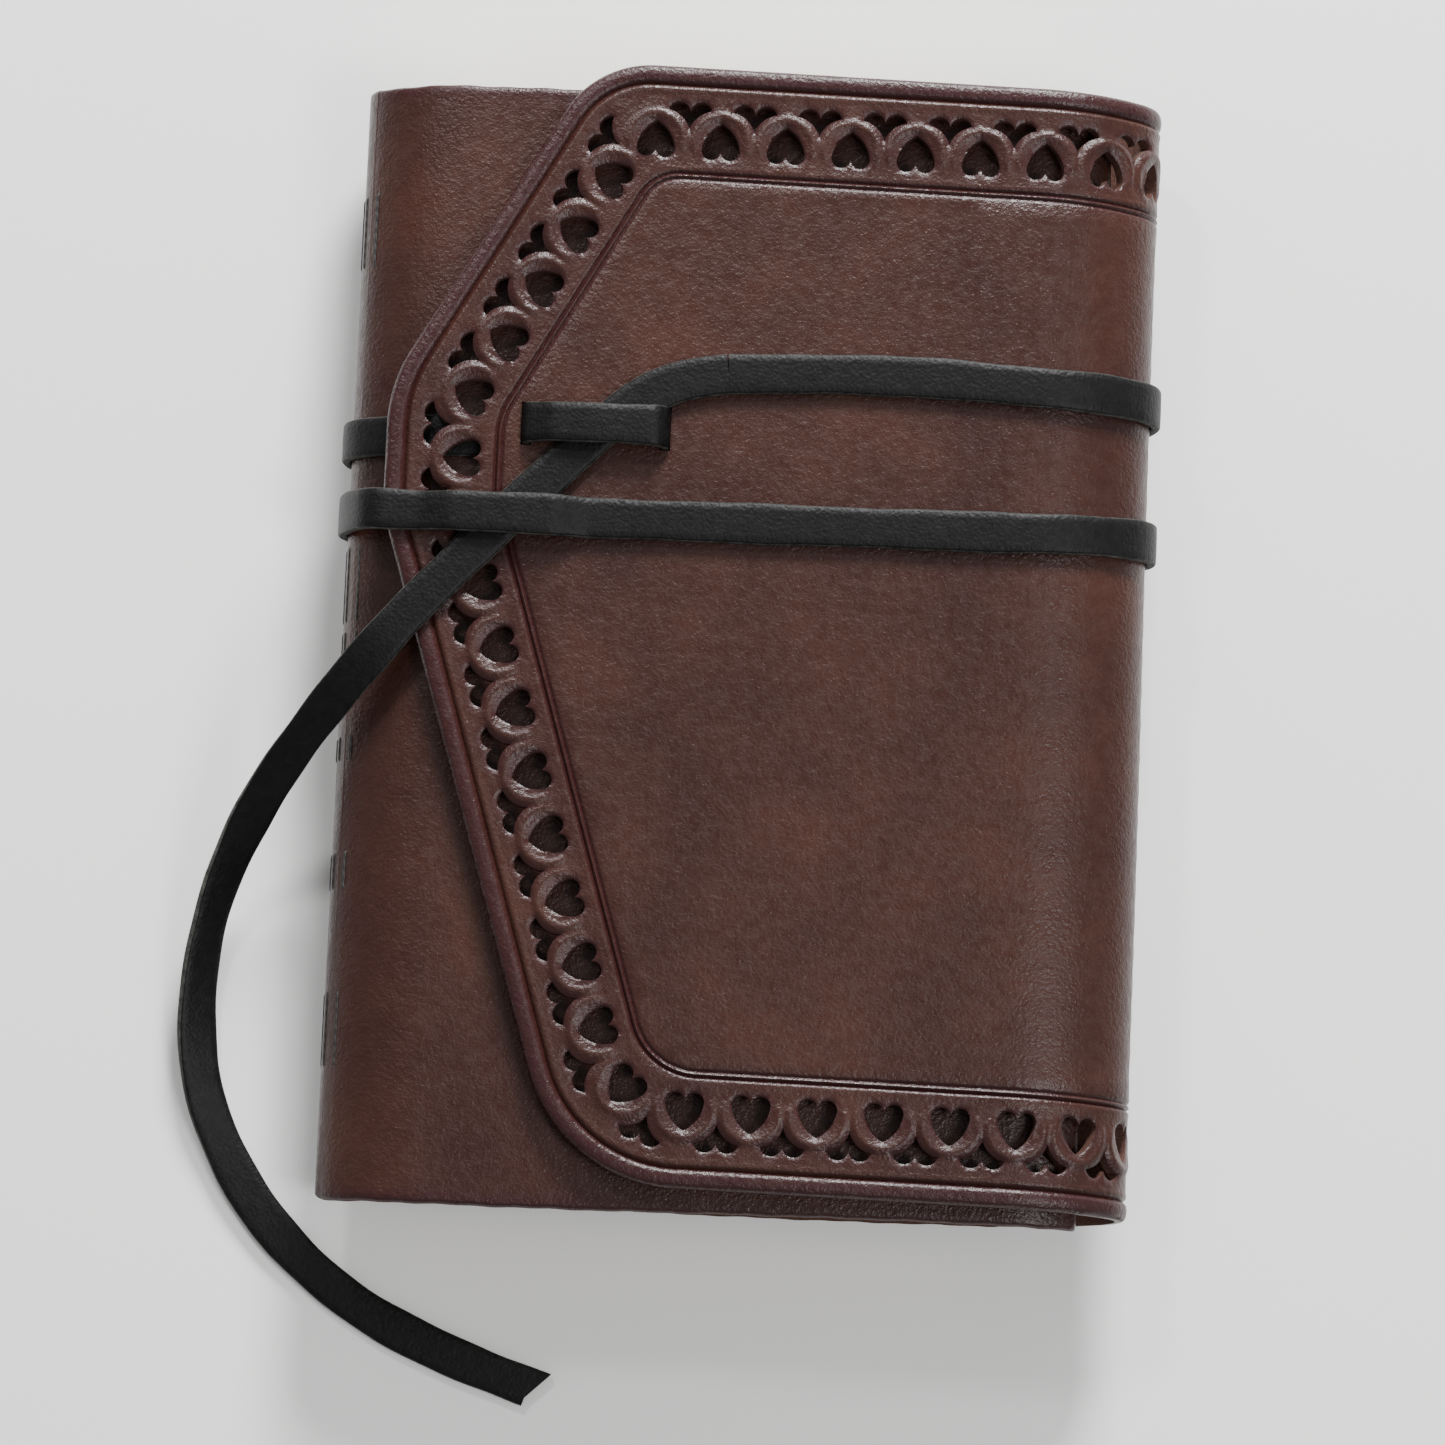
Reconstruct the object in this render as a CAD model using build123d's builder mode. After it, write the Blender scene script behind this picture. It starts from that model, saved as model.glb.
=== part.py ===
from build123d import *
import math
import os

# Leather wrap album, closed and tied. It lies on its back cover.
# +X runs from the spine to the fore edge, +Y up the pages, +Z out of the front cover.
# The origin is under the middle of the closed album, on the surface it lies on.

os.makedirs("parts", exist_ok=True)

# ---------------------------------------------------------------- driving dimensions (mm)
ALBUM_WIDTH = 127.0          # over the leather, spine to fore edge
HIDE_HEIGHT = 178.0          # height of the leather along Y
LEATHER = 2.0                # thickness of the hide
LACE_WIDTH = 6.35
LACE_THICK = 1.5
LACE_CLEARANCE = 0.1         # between a lace and what it lies on
UNDER_FLAP_CLEARANCE = 0.2   # between the flap and the lace below it
COVER_CLEARANCE = 0.3        # between the pages and each cover

SIGNATURE_COUNT = 5
SHEETS_PER_SIGNATURE = 4
PAPER = 0.25
LEAF_PITCH = 0.4             # paper and the air on it, in the body of the pages
FOLD_PITCH = 0.255           # the same at the pressed folds
THREAD_ROOM = 0.27           # half the gap in the middle of a fold, for the thread
SIGNATURE_GAP = 0.04
FOLD_GAP = 0.02
PAGE_HEIGHT = HIDE_HEIGHT - 6.0
PAGE_WIDTH = ALBUM_WIDTH - 25.0  # from a fold's centre to the fore edge, less the fold's own turn
PAGE_BEND_RADIUS = 15.0      # where a leaf leaves the pressed folds and where it reaches the flat
PAGE_BEND_START_X = -ALBUM_WIDTH / 2 + 12.5
PAGE_BEND_END_X = PAGE_BEND_START_X + 10.0
THREAD_DIAMETER = 0.5
THREAD_BEND = 0.3
SEWING_HOLE = 0.8
FOLD_CLEARANCE = 0.3         # between a fold and the spine leather

SPINE_NOSE_DEPTH = 16.0      # how far the rounded spine reaches past the flat covers
FORE_NOSE_DEPTH = 19.5       # the same for the turn of the hide at the fore edge
SHOULDER_ANGLE = 40.0        # where the flat shoulder arc meets the tighter nose arc
FRONT_COVER_EDGE_X = ALBUM_WIDTH / 2 - 7.5  # free edge of the front cover, inside the fore-edge turn
JOINT_START = 11.0           # front joint strip, measured from the flat cover to the spine
JOINT_END = 8.0

FRONT_SHIFT = -2.0           # the wrap is a little askew: middle of each panel along Y
BACK_SHIFT = -0.7
FLAP_SHIFT = 0.6

# flap outline in plan, from the fore-edge turn round the pointed end and back
FLAP_TOP = HIDE_HEIGHT / 2 + 2.0
FLAP_TIP_X = -ALBUM_WIDTH / 2 + 6.0
FLAP_TOP_CORNER_X = FLAP_TIP_X + 30.5
FLAP_TIP_TOP_Y = 37.5
FLAP_TIP_BOTTOM_Y = 17.4
FLAP_BOTTOM_CORNER = (FLAP_TIP_X + 32.1, 1.8 - HIDE_HEIGHT / 2)
FLAP_TOP_RADIUS = 16.0
FLAP_TIP_RADIUS = 25.0
FLAP_BOTTOM_RADIUS = 25.0

# pierced border of the flap
HEART_INSET = 12.0           # centre line of the hearts, from the flap's edge
TREFOIL_INSET = 8.0
HEART_COUNT = 27
HEART_WIDTH = 6.0
HEART_LENGTH = 6.0
TREFOIL_WIDTH = 7.0
TREFOIL_LENGTH = 4.4
BORDER_END_MARGIN = 9.15     # bare leather between the last heart and the turn

# lace slits and places
SLIT_LEFT_X = FLAP_TIP_X + 22.0
SLIT_RIGHT_X = SLIT_LEFT_X + 23.3
KEEPER_Y = 33.4
SLIT_CLEARANCE = 0.3
STOP_END_LENGTH = 8.0
LACE_PAST_SLIT = 3.0         # lace under the flap beyond the left slit
LACE_BEND = 1.0              # centre-line radius where the lace goes through a slit
SPINE_UPPER_Y = 30.5         # lace heights at the spine and at the fore edge
SPINE_LOWER_Y = 17.4
FORE_LOWER_Y = 17.4
FORE_UPPER_Y = 39.4
FRONT_RUN_END = (SLIT_RIGHT_X + 8.2, 42.4)  # where the upper front run turns into the free tail
HUMP_X = FLAP_TIP_X + 19.0   # the lower front run's hump over the tail: middle, half length, ramps
HUMP_HALF = 8.0
HUMP_RAMP = 5.0
KEEPER_RAMPS = (1.5, 4.3)    # from the right and left slits to where the keeper is over the tail
SHOULDER_OVER_FLAP_X = FLAP_TIP_X + 0.5  # where the lower spine turn bends down past the flap's edge
OVER_FLAP_ANGLE = 60.0
LACE_RUN_BEND = 3.0          # centre-line radius of gentle bends in a flat run

# outer stitches along Y, as (top, bottom) of each
STITCHES = ((70.0, 58.0), (13.0, 0.6), (-0.6, -7.0), (-17.5, -21.5), (-36.0, -42.0), (-58.0, -70.0))

# ---------------------------------------------------------------- levels worked out from them
BACK_Z = 2 * (LACE_THICK + LACE_CLEARANCE)
SIGNATURE_PITCH = 2 * SHEETS_PER_SIGNATURE * LEAF_PITCH + SIGNATURE_GAP
FOLD_HALF = THREAD_ROOM + SHEETS_PER_SIGNATURE * FOLD_PITCH
FOLD_SPACING = 2 * FOLD_HALF + FOLD_GAP
BLOCK_Z = BACK_Z + LEATHER + COVER_CLEARANCE
FRONT_Z = BLOCK_Z + SIGNATURE_COUNT * SIGNATURE_PITCH + COVER_CLEARANCE
FRONT_TOP_Z = FRONT_Z + LEATHER
UNDER_LACE_Z = FRONT_TOP_Z + LACE_CLEARANCE
FLAP_Z = UNDER_LACE_Z + LACE_THICK + UNDER_FLAP_CLEARANCE
FLAP_TOP_Z = FLAP_Z + LEATHER
LACE_Z = FLAP_TOP_Z + LACE_CLEARANCE
OVER_LACE_Z = LACE_Z + LACE_THICK + LACE_CLEARANCE

SPINE_TIP_X = -ALBUM_WIDTH / 2
FORE_TIP_X = ALBUM_WIDTH / 2
SPINE_X = SPINE_TIP_X + SPINE_NOSE_DEPTH
FORE_X = FORE_TIP_X - FORE_NOSE_DEPTH
SPINE_MID_Z = (BACK_Z + FRONT_TOP_Z) / 2
FORE_MID_Z = (BACK_Z + FLAP_TOP_Z) / 2


def nose_radii(depth, height, angle):
    """Shoulder and nose radii of a quarter oval of this depth and height."""
    sine = math.sin(math.radians(angle))
    cosine = math.cos(math.radians(angle))
    scale = sine * cosine - (1 - sine) * (1 - cosine)
    shoulder = (depth * cosine - height * (1 - sine)) / scale
    nose = (sine * height - (1 - cosine) * depth) / scale
    return shoulder, nose


def nose_arcs(start, side, low, high, grow=0.0, low_angle=SHOULDER_ANGLE, high_angle=SHOULDER_ANGLE, high_sweep=None):
    """Four tangent arcs round a nose, from below to above; side is 1 to the right, -1 to the left."""
    if high_sweep is None:
        high_sweep = high_angle
    first = JernArc(start, (side, 0), low[0] + grow, side * low_angle)
    second = JernArc(first @ 1, first % 1, low[1] + grow, side * (90 - low_angle))
    third = JernArc(second @ 1, second % 1, high[1] + grow, side * (90 - high_angle))
    last = JernArc(third @ 1, third % 1, high[0] + grow, side * high_sweep)
    return first @ 0, last @ 1


def unit(a, b):
    """Unit vector from a to b in a plane."""
    length = math.hypot(b[0] - a[0], b[1] - a[1])
    return (b[0] - a[0]) / length, (b[1] - a[1]) / length


def offset_points(points, distance):
    """Corners of an open polyline moved to its left by a distance."""
    moved = []
    for index, point in enumerate(points):
        before = unit(points[max(index - 1, 0)], points[max(index, 1)])
        after = unit(points[min(index, len(points) - 2)], points[min(index + 1, len(points) - 1)])
        normal = (-before[1] - after[1], before[0] + after[0])
        square = (normal[0] ** 2 + normal[1] ** 2) / 2
        moved.append((point[0] + distance * normal[0] / square, point[1] + distance * normal[1] / square))
    return moved


def offset_radii(points, radii, distance):
    """Corner radii of the same polyline after that move."""
    result = []
    for index, radius in enumerate(radii, start=1):
        before = unit(points[index - 1], points[index])
        after = unit(points[index], points[index + 1])
        left_turn = before[0] * after[1] - before[1] * after[0] > 0
        result.append(radius - distance if left_turn else radius + distance)
    return result


def ribbon(points, radii, thickness):
    """Closed outline, inside a BuildLine, of a strip centred on a polyline with rounded corners."""
    sides = []
    for distance in (thickness / 2, -thickness / 2):
        corners = offset_points(points, distance)
        sides.append(FilletPolyline(*corners, radius=offset_radii(points, radii, distance)))
    Line(sides[0] @ 0, sides[1] @ 0)
    Line(sides[0] @ 1, sides[1] @ 1)


def strip_corners(start, end, width):
    """Corners of a plan-view strip from one point to another with ends square to X."""
    slope = math.hypot(end[0] - start[0], end[1] - start[1]) / abs(end[0] - start[0])
    half = width * slope / 2
    return [
        (start[0], start[1] - half), (end[0], end[1] - half), (end[0], end[1] + half), (start[0], start[1] + half)
    ]


def finish(part, label, colour):
    """Name a piece, colour it and write it."""
    part.label = label
    part.color = Color(*colour)
    export_step(part, f"parts/{label}.step")


def askew(low_z, high_z, low_shift, high_shift, top):
    """Plane that trims a panel's head (top) or tail end, leaning from one shift to the other."""
    side = 1 if top else -1
    origin = (0, low_shift + side * HIDE_HEIGHT / 2, low_z)
    lean = (0, high_shift - low_shift, high_z - low_z)
    normal = Vector(0, lean[2], -lean[1]).normalized() * side
    return Plane(origin=origin, x_dir=(1, 0, 0), z_dir=normal)


LEATHER_COLOUR = (0.30, 0.17, 0.15)
PAPER_COLOUR = (0.90, 0.86, 0.76)
LACE_COLOUR = (0.10, 0.10, 0.10)
THREAD_COLOUR = (0.06, 0.06, 0.06)
HALF_LENGTH = HIDE_HEIGHT    # extrusion each way, before the ends are trimmed

spine_radii = nose_radii(SPINE_NOSE_DEPTH, SPINE_MID_Z - BACK_Z, SHOULDER_ANGLE)
fore_radii = nose_radii(FORE_NOSE_DEPTH, FORE_MID_Z - BACK_Z, SHOULDER_ANGLE)
joint_start_angle = math.degrees(math.asin(JOINT_START / spine_radii[0]))
joint_end_angle = math.degrees(math.asin(JOINT_END / spine_radii[0]))

# ---------------------------------------------------------------- the hide
with BuildPart() as back_cover:
    with BuildSketch(Plane.XZ):
        with Locations(((SPINE_X + FORE_X) / 2, BACK_Z + LEATHER / 2)):
            Rectangle(FORE_X - SPINE_X, LEATHER)
    extrude(amount=HIDE_HEIGHT / 2, both=True)
back_cover_part = back_cover.part.moved(Location((0, BACK_SHIFT, 0)))
finish(back_cover_part, "back_cover", LEATHER_COLOUR)

with BuildPart() as spine:
    with BuildSketch(Plane.XZ):
        with BuildLine():
            sweep_angle = SHOULDER_ANGLE - joint_start_angle
            outer = nose_arcs((SPINE_X, BACK_Z), -1, spine_radii, spine_radii, high_sweep=sweep_angle)
            inner = nose_arcs(
                (SPINE_X, BACK_Z + LEATHER), -1, spine_radii, spine_radii, grow=-LEATHER, high_sweep=sweep_angle
            )
            Line(outer[0], inner[0])
            Line(outer[1], inner[1])
        make_face()
    extrude(amount=HALF_LENGTH, both=True)
    for top in (True, False):
        split(bisect_by=askew(BACK_Z, FRONT_TOP_Z, BACK_SHIFT, FRONT_SHIFT, top), keep=Keep.BOTTOM)
    stitch_holes = []
    for signature in range(SIGNATURE_COUNT):
        hole_z = SPINE_MID_Z + (signature - (SIGNATURE_COUNT - 1) / 2) * FOLD_SPACING
        for stitch in STITCHES:
            for hole_y in stitch:
                stitch_holes.append((hole_y, hole_z))
    with BuildSketch(Plane.YZ.offset(SPINE_TIP_X - LEATHER)):
        with Locations(*stitch_holes):
            Circle(SEWING_HOLE / 2)
    extrude(amount=SPINE_NOSE_DEPTH, mode=Mode.SUBTRACT)
finish(spine.part, "spine", LEATHER_COLOUR)

with BuildPart() as front_joint:
    with BuildSketch(Plane.XZ):
        with BuildLine():
            for radius in (spine_radii[0], spine_radii[0] - LEATHER):
                CenterArc(
                    (SPINE_X, FRONT_TOP_Z - spine_radii[0]), radius,
                    90 + joint_end_angle, joint_start_angle - joint_end_angle,
                )
            arcs = edges()
            Line(arcs[0] @ 0, arcs[1] @ 0)
            Line(arcs[0] @ 1, arcs[1] @ 1)
        make_face()
    extrude(amount=HIDE_HEIGHT / 2, both=True)
front_joint_part = front_joint.part.moved(Location((0, FRONT_SHIFT, 0)))
finish(front_joint_part, "front_joint", LEATHER_COLOUR)

cover_bend = fore_radii[0] - (FLAP_TOP_Z - FRONT_TOP_Z)
cover_bend_angle = math.degrees(math.asin((FRONT_COVER_EDGE_X - FORE_X) / (cover_bend - LEATHER / 2)))
with BuildPart() as front_cover:
    with BuildSketch(Plane.XZ):
        with BuildLine():
            ends = []
            for depth in (0.0, LEATHER):
                shoulder = JernArc((SPINE_X, FRONT_TOP_Z - depth), (-1, 0), spine_radii[0] - depth, joint_end_angle)
                Line((SPINE_X, FRONT_TOP_Z - depth), (FORE_X, FRONT_TOP_Z - depth))
                bend = JernArc((FORE_X, FRONT_TOP_Z - depth), (1, 0), cover_bend - depth, -cover_bend_angle)
                ends.append((shoulder @ 1, bend @ 1))
            Line(ends[0][0], ends[1][0])
            Line(ends[0][1], ends[1][1])
        make_face()
    extrude(amount=HIDE_HEIGHT / 2, both=True)
front_cover_part = front_cover.part.moved(Location((0, FRONT_SHIFT, 0)))
finish(front_cover_part, "front_cover", LEATHER_COLOUR)

with BuildPart() as fore_edge_turn:
    with BuildSketch(Plane.XZ):
        with BuildLine():
            outer = nose_arcs((FORE_X, BACK_Z), 1, fore_radii, fore_radii)
            inner = nose_arcs((FORE_X, BACK_Z + LEATHER), 1, fore_radii, fore_radii, grow=-LEATHER)
            Line(outer[0], inner[0])
            Line(outer[1], inner[1])
        make_face()
    extrude(amount=HALF_LENGTH, both=True)
    for top in (True, False):
        split(bisect_by=askew(BACK_Z, FLAP_TOP_Z, BACK_SHIFT, FLAP_SHIFT, top), keep=Keep.BOTTOM)
finish(fore_edge_turn.part, "fore_edge_turn", LEATHER_COLOUR)

flap_corners = [
    (FORE_X, FLAP_SHIFT + HIDE_HEIGHT / 2),
    (FLAP_TOP_CORNER_X, FLAP_TOP),
    (FLAP_TIP_X, FLAP_TIP_TOP_Y),
    (FLAP_TIP_X, FLAP_TIP_BOTTOM_Y),
    FLAP_BOTTOM_CORNER,
    (FORE_X, FLAP_SHIFT - HIDE_HEIGHT / 2),
]
flap_radii = [FLAP_TOP_RADIUS, FLAP_TIP_RADIUS, FLAP_TIP_RADIUS, FLAP_BOTTOM_RADIUS]


def border_line(inset):
    """Line parallel to the flap's edge, that far inside it."""
    return FilletPolyline(
        *offset_points(flap_corners, inset), radius=offset_radii(flap_corners, flap_radii, inset), mode=Mode.PRIVATE
    )


def border_places(line, fractions):
    """Places along such a line, turned so that local +Y points out to the edge."""
    places = []
    for fraction in fractions:
        point = line @ fraction
        along = line % fraction
        places.append(Location((point.X, point.Y, 0), (0, 0, math.degrees(math.atan2(-along.Y, -along.X)))))
    return places


heart_line = border_line(HEART_INSET)
heart_margin = BORDER_END_MARGIN / heart_line.length
heart_step = (1 - 2 * heart_margin) / (HEART_COUNT - 1)
heart_places = border_places(heart_line, [heart_margin + n * heart_step for n in range(HEART_COUNT)])
trefoil_places = border_places(heart_line, [heart_margin + (n + 0.5) * heart_step for n in range(HEART_COUNT - 1)])

# a heart, its point towards the flap's edge
with BuildSketch() as heart:
    with BuildLine():
        half_width, half_length = HEART_WIDTH / 2, HEART_LENGTH / 2
        ThreePointArc((0, half_length), (0.72 * half_width, 0.35 * half_length), (half_width, -0.35 * half_length))
        ThreePointArc((half_width, -0.35 * half_length), (0.55 * half_width, -half_length), (0, -0.6 * half_length))
        mirror(about=Plane.YZ)
    make_face()

# a three-pointed leaf between two hearts: two lobes to the edge, one point inwards
with BuildSketch() as trefoil:
    with BuildLine():
        half_width, half_length = TREFOIL_WIDTH / 2, TREFOIL_LENGTH / 2
        out = HEART_INSET - TREFOIL_INSET
        ThreePointArc(
            (0, out - half_length), (0.4 * half_width, out - 0.05 * half_length), (half_width, out + 0.4 * half_length)
        )
        ThreePointArc(
            (half_width, out + 0.4 * half_length), (0.55 * half_width, out + half_length), (0, out + 0.4 * half_length)
        )
        mirror(about=Plane.YZ)
    make_face()

with BuildPart() as flap:
    with BuildSketch(Plane.XY.offset(FLAP_Z)):
        with BuildLine():
            FilletPolyline(*flap_corners, radius=flap_radii)
            Line(flap_corners[-1], flap_corners[0])
        make_face()
        with Locations((SLIT_LEFT_X, KEEPER_Y), (SLIT_RIGHT_X, KEEPER_Y)):
            Rectangle(LACE_THICK + SLIT_CLEARANCE, LACE_WIDTH + 2 * SLIT_CLEARANCE, mode=Mode.SUBTRACT)
        with Locations(*heart_places):
            add(heart.sketch, mode=Mode.SUBTRACT)
        with Locations(*trefoil_places):
            add(trefoil.sketch, mode=Mode.SUBTRACT)
    extrude(amount=LEATHER)
finish(flap.part, "flap", LEATHER_COLOUR)

# ---------------------------------------------------------------- the pages
spine_shoulder, spine_nose = spine_radii


def spine_x(rise, grow):
    """X of the spine's round at a height above or below its middle, grown outwards by an amount."""
    if abs(rise) <= (spine_nose + grow) * math.cos(math.radians(SHOULDER_ANGLE)):
        return SPINE_TIP_X + spine_nose - math.sqrt((spine_nose + grow) ** 2 - rise ** 2)
    drop = abs(rise) - (FRONT_TOP_Z - spine_shoulder - SPINE_MID_Z)
    return SPINE_X - math.sqrt((spine_shoulder + grow) ** 2 - drop ** 2)


for number in range(1, SIGNATURE_COUNT + 1):
    rank = (SIGNATURE_COUNT + 1) / 2 - number      # signature 1 is the top one
    fold_rise = rank * FOLD_SPACING
    fold_z = SPINE_MID_Z + fold_rise
    page_z = BLOCK_Z + (SIGNATURE_COUNT / 2 + rank) * SIGNATURE_PITCH
    fold_x = spine_x(fold_rise, -(LEATHER + FOLD_CLEARANCE + FOLD_HALF))
    holes = [(y, fold_z) for stitch in STITCHES for y in stitch]

    for sheet_number in range(1, SHEETS_PER_SIGNATURE + 1):
        rank_out = SHEETS_PER_SIGNATURE - sheet_number      # sheet 1 is the outer one
        fold_reach = THREAD_ROOM + (rank_out + 0.5) * FOLD_PITCH
        leaf_reach = (rank_out + 0.5) * LEAF_PITCH
        fore_x = fold_x + PAGE_WIDTH - math.pi / 2 * fold_reach
        with BuildPart() as sheet:
            with BuildSketch(Plane.XZ):
                with BuildLine():
                    centre_line = [
                        (fore_x, page_z + leaf_reach),
                        (PAGE_BEND_END_X, page_z + leaf_reach),
                        (PAGE_BEND_START_X, fold_z + fold_reach),
                        (fold_x - fold_reach, fold_z + fold_reach),
                        (fold_x - fold_reach, fold_z - fold_reach),
                        (PAGE_BEND_START_X, fold_z - fold_reach),
                        (PAGE_BEND_END_X, page_z - leaf_reach),
                        (fore_x, page_z - leaf_reach),
                    ]
                    fold_radius = 0.98 * fold_reach
                    bends = [PAGE_BEND_RADIUS, PAGE_BEND_RADIUS, fold_radius]
                    ribbon(centre_line, bends + bends[::-1], PAPER)
                make_face()
            extrude(amount=PAGE_HEIGHT / 2, both=True)
            with BuildSketch(Plane.YZ.offset(SPINE_TIP_X)):
                with Locations(*[(y - BACK_SHIFT, z) for y, z in holes]):
                    Circle(SEWING_HOLE / 2)
            extrude(amount=fold_x - SPINE_TIP_X, mode=Mode.SUBTRACT)
        finish(
            sheet.part.moved(Location((0, BACK_SHIFT, 0))), f"signature_{number}_sheet_{sheet_number}", PAPER_COLOUR
        )

    # sewing thread: long stitches on the spine, joined through the leather and the folds
    outside_x = spine_x(fold_rise, THREAD_DIAMETER / 2 + FOLD_GAP)
    route = [(fold_x, STITCHES[0][0] + 6.0, fold_z)]
    for top_y, bottom_y in STITCHES:
        route += [(fold_x, top_y, fold_z), (outside_x, top_y, fold_z)]
        route += [(outside_x, bottom_y, fold_z), (fold_x, bottom_y, fold_z)]
    route.append((fold_x, STITCHES[-1][1] - 6.0, fold_z))
    with BuildPart() as thread:
        with BuildLine():
            path = FilletPolyline(*route, radius=THREAD_BEND)
        with BuildSketch(Plane(origin=route[0], z_dir=(0, -1, 0))):
            Circle(THREAD_DIAMETER / 2)
        sweep(path=path)
    finish(thread.part, f"signature_{number}_thread", THREAD_COLOUR)


# ---------------------------------------------------------------- the lace
def lace_band(arcs_of, start, end, flat=None):
    """One turn of lace: a band between two nose outlines, cut to a plan-view strip."""
    with BuildPart() as band:
        with BuildSketch(Plane.XZ):
            with BuildLine():
                inner = arcs_of(0.0)
                outer = arcs_of(LACE_THICK)
                Line(inner[0], outer[0])
                Line(inner[1], outer[1])
            make_face()
            if flat:
                with Locations(((flat[0] + flat[1]) / 2, flat[2] + LACE_THICK / 2)):
                    Rectangle(abs(flat[1] - flat[0]), LACE_THICK)
        extrude(amount=HALF_LENGTH, both=True)
        with BuildSketch(Plane.XY):
            with BuildLine():
                Polyline(*strip_corners(start, end, LACE_WIDTH), close=True)
            make_face()
        extrude(amount=2 * OVER_LACE_Z, both=True, mode=Mode.INTERSECT)
    return band.part


def grown(radii, amount):
    """The same pair of radii, grown outwards."""
    return radii[0] + amount, radii[1] + amount


BEYOND = 10.0                # how far a plan strip reaches past the nose it cuts
gap = LACE_CLEARANCE
spine_gap_radii = grown(spine_radii, gap)
fore_gap_radii = grown(fore_radii, gap)
spine_outer_low = nose_radii(SPINE_NOSE_DEPTH + gap, SPINE_MID_Z - LACE_THICK, SHOULDER_ANGLE)
fore_outer_low = nose_radii(FORE_NOSE_DEPTH + gap, FORE_MID_Z - LACE_THICK, SHOULDER_ANGLE)
over_flap = nose_radii(
    SHOULDER_OVER_FLAP_X - SPINE_TIP_X + gap, LACE_Z - SPINE_MID_Z, OVER_FLAP_ANGLE
)

lace_spine_turn_upper = lace_band(
    lambda grow: nose_arcs((SPINE_X, BACK_Z - gap - grow), -1, spine_gap_radii, spine_gap_radii, grow),
    (SPINE_TIP_X - BEYOND, SPINE_UPPER_Y), (SLIT_LEFT_X - LACE_PAST_SLIT, SPINE_UPPER_Y),
    flat=(SPINE_X, SLIT_LEFT_X - LACE_PAST_SLIT, UNDER_LACE_Z),
)
finish(lace_spine_turn_upper, "lace_spine_turn_upper", LACE_COLOUR)

lace_spine_turn_lower = lace_band(
    lambda grow: nose_arcs(
        (SPINE_X, LACE_THICK - grow), -1, spine_outer_low, over_flap, grow, high_angle=OVER_FLAP_ANGLE
    ),
    (SPINE_TIP_X - BEYOND, SPINE_LOWER_Y), (SPINE_X, SPINE_LOWER_Y),
)
finish(lace_spine_turn_lower, "lace_spine_turn_lower", LACE_COLOUR)

lace_fore_turn_lower = lace_band(
    lambda grow: nose_arcs((FORE_X, BACK_Z - gap - grow), 1, fore_gap_radii, fore_gap_radii, grow),
    (FORE_X, FORE_LOWER_Y), (FORE_TIP_X + BEYOND, FORE_LOWER_Y),
)
finish(lace_fore_turn_lower, "lace_fore_turn_lower", LACE_COLOUR)

lace_fore_turn_upper = lace_band(
    lambda grow: nose_arcs((FORE_X, LACE_THICK - grow), 1, fore_outer_low, fore_gap_radii, grow),
    (FORE_X, FORE_UPPER_Y), (FORE_TIP_X + BEYOND, FORE_UPPER_Y),
)
finish(lace_fore_turn_upper, "lace_fore_turn_upper", LACE_COLOUR)

flat_runs = {
    "lace_back_run_inner": ((SPINE_X, SPINE_UPPER_Y), (FORE_X, FORE_LOWER_Y), LACE_THICK + gap),
    "lace_back_run_outer": ((SPINE_X, SPINE_LOWER_Y), (FORE_X, FORE_UPPER_Y), 0.0),
    "lace_front_run_upper": (FRONT_RUN_END, (FORE_X, FORE_UPPER_Y), LACE_Z),
}
for label, (start, end, low_z) in flat_runs.items():
    with BuildPart() as run:
        with BuildSketch(Plane.XY.offset(low_z)):
            with BuildLine():
                Polyline(*strip_corners(start, end, LACE_WIDTH), close=True)
            make_face()
        extrude(amount=LACE_THICK)
    finish(run.part, label, LACE_COLOUR)

low_line = LACE_Z + LACE_THICK / 2
high_line = OVER_LACE_Z + LACE_THICK / 2
with BuildPart() as lace_front_run_lower:
    with BuildSketch(Plane.XZ.offset(-SPINE_LOWER_Y)):
        with BuildLine():
            hump = [
                (FORE_X, low_line),
                (HUMP_X + HUMP_HALF + HUMP_RAMP, low_line),
                (HUMP_X + HUMP_HALF, high_line),
                (HUMP_X - HUMP_HALF, high_line),
                (HUMP_X - HUMP_HALF - HUMP_RAMP, low_line),
                (SHOULDER_OVER_FLAP_X, low_line),
            ]
            ribbon(hump, [LACE_RUN_BEND] * 4, LACE_THICK)
        make_face()
    extrude(amount=LACE_WIDTH / 2, both=True)
finish(lace_front_run_lower.part, "lace_front_run_lower", LACE_COLOUR)

under_line = UNDER_LACE_Z + LACE_THICK / 2
with BuildPart() as lace_keeper:
    with BuildSketch(Plane.XZ.offset(-KEEPER_Y)):
        with BuildLine():
            keeper_line = [
                (SLIT_RIGHT_X + STOP_END_LENGTH, under_line),
                (SLIT_RIGHT_X, under_line),
                (SLIT_RIGHT_X, low_line),
                (SLIT_RIGHT_X - KEEPER_RAMPS[0], high_line),
                (SLIT_LEFT_X + KEEPER_RAMPS[1], high_line),
                (SLIT_LEFT_X, low_line),
                (SLIT_LEFT_X, under_line),
                (SLIT_LEFT_X - LACE_PAST_SLIT, under_line),
            ]
            ribbon(keeper_line, [LACE_BEND] * 6, LACE_THICK)
        make_face()
    extrude(amount=LACE_WIDTH / 2, both=True)
finish(lace_keeper.part, "lace_keeper", LACE_COLOUR)

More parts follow.
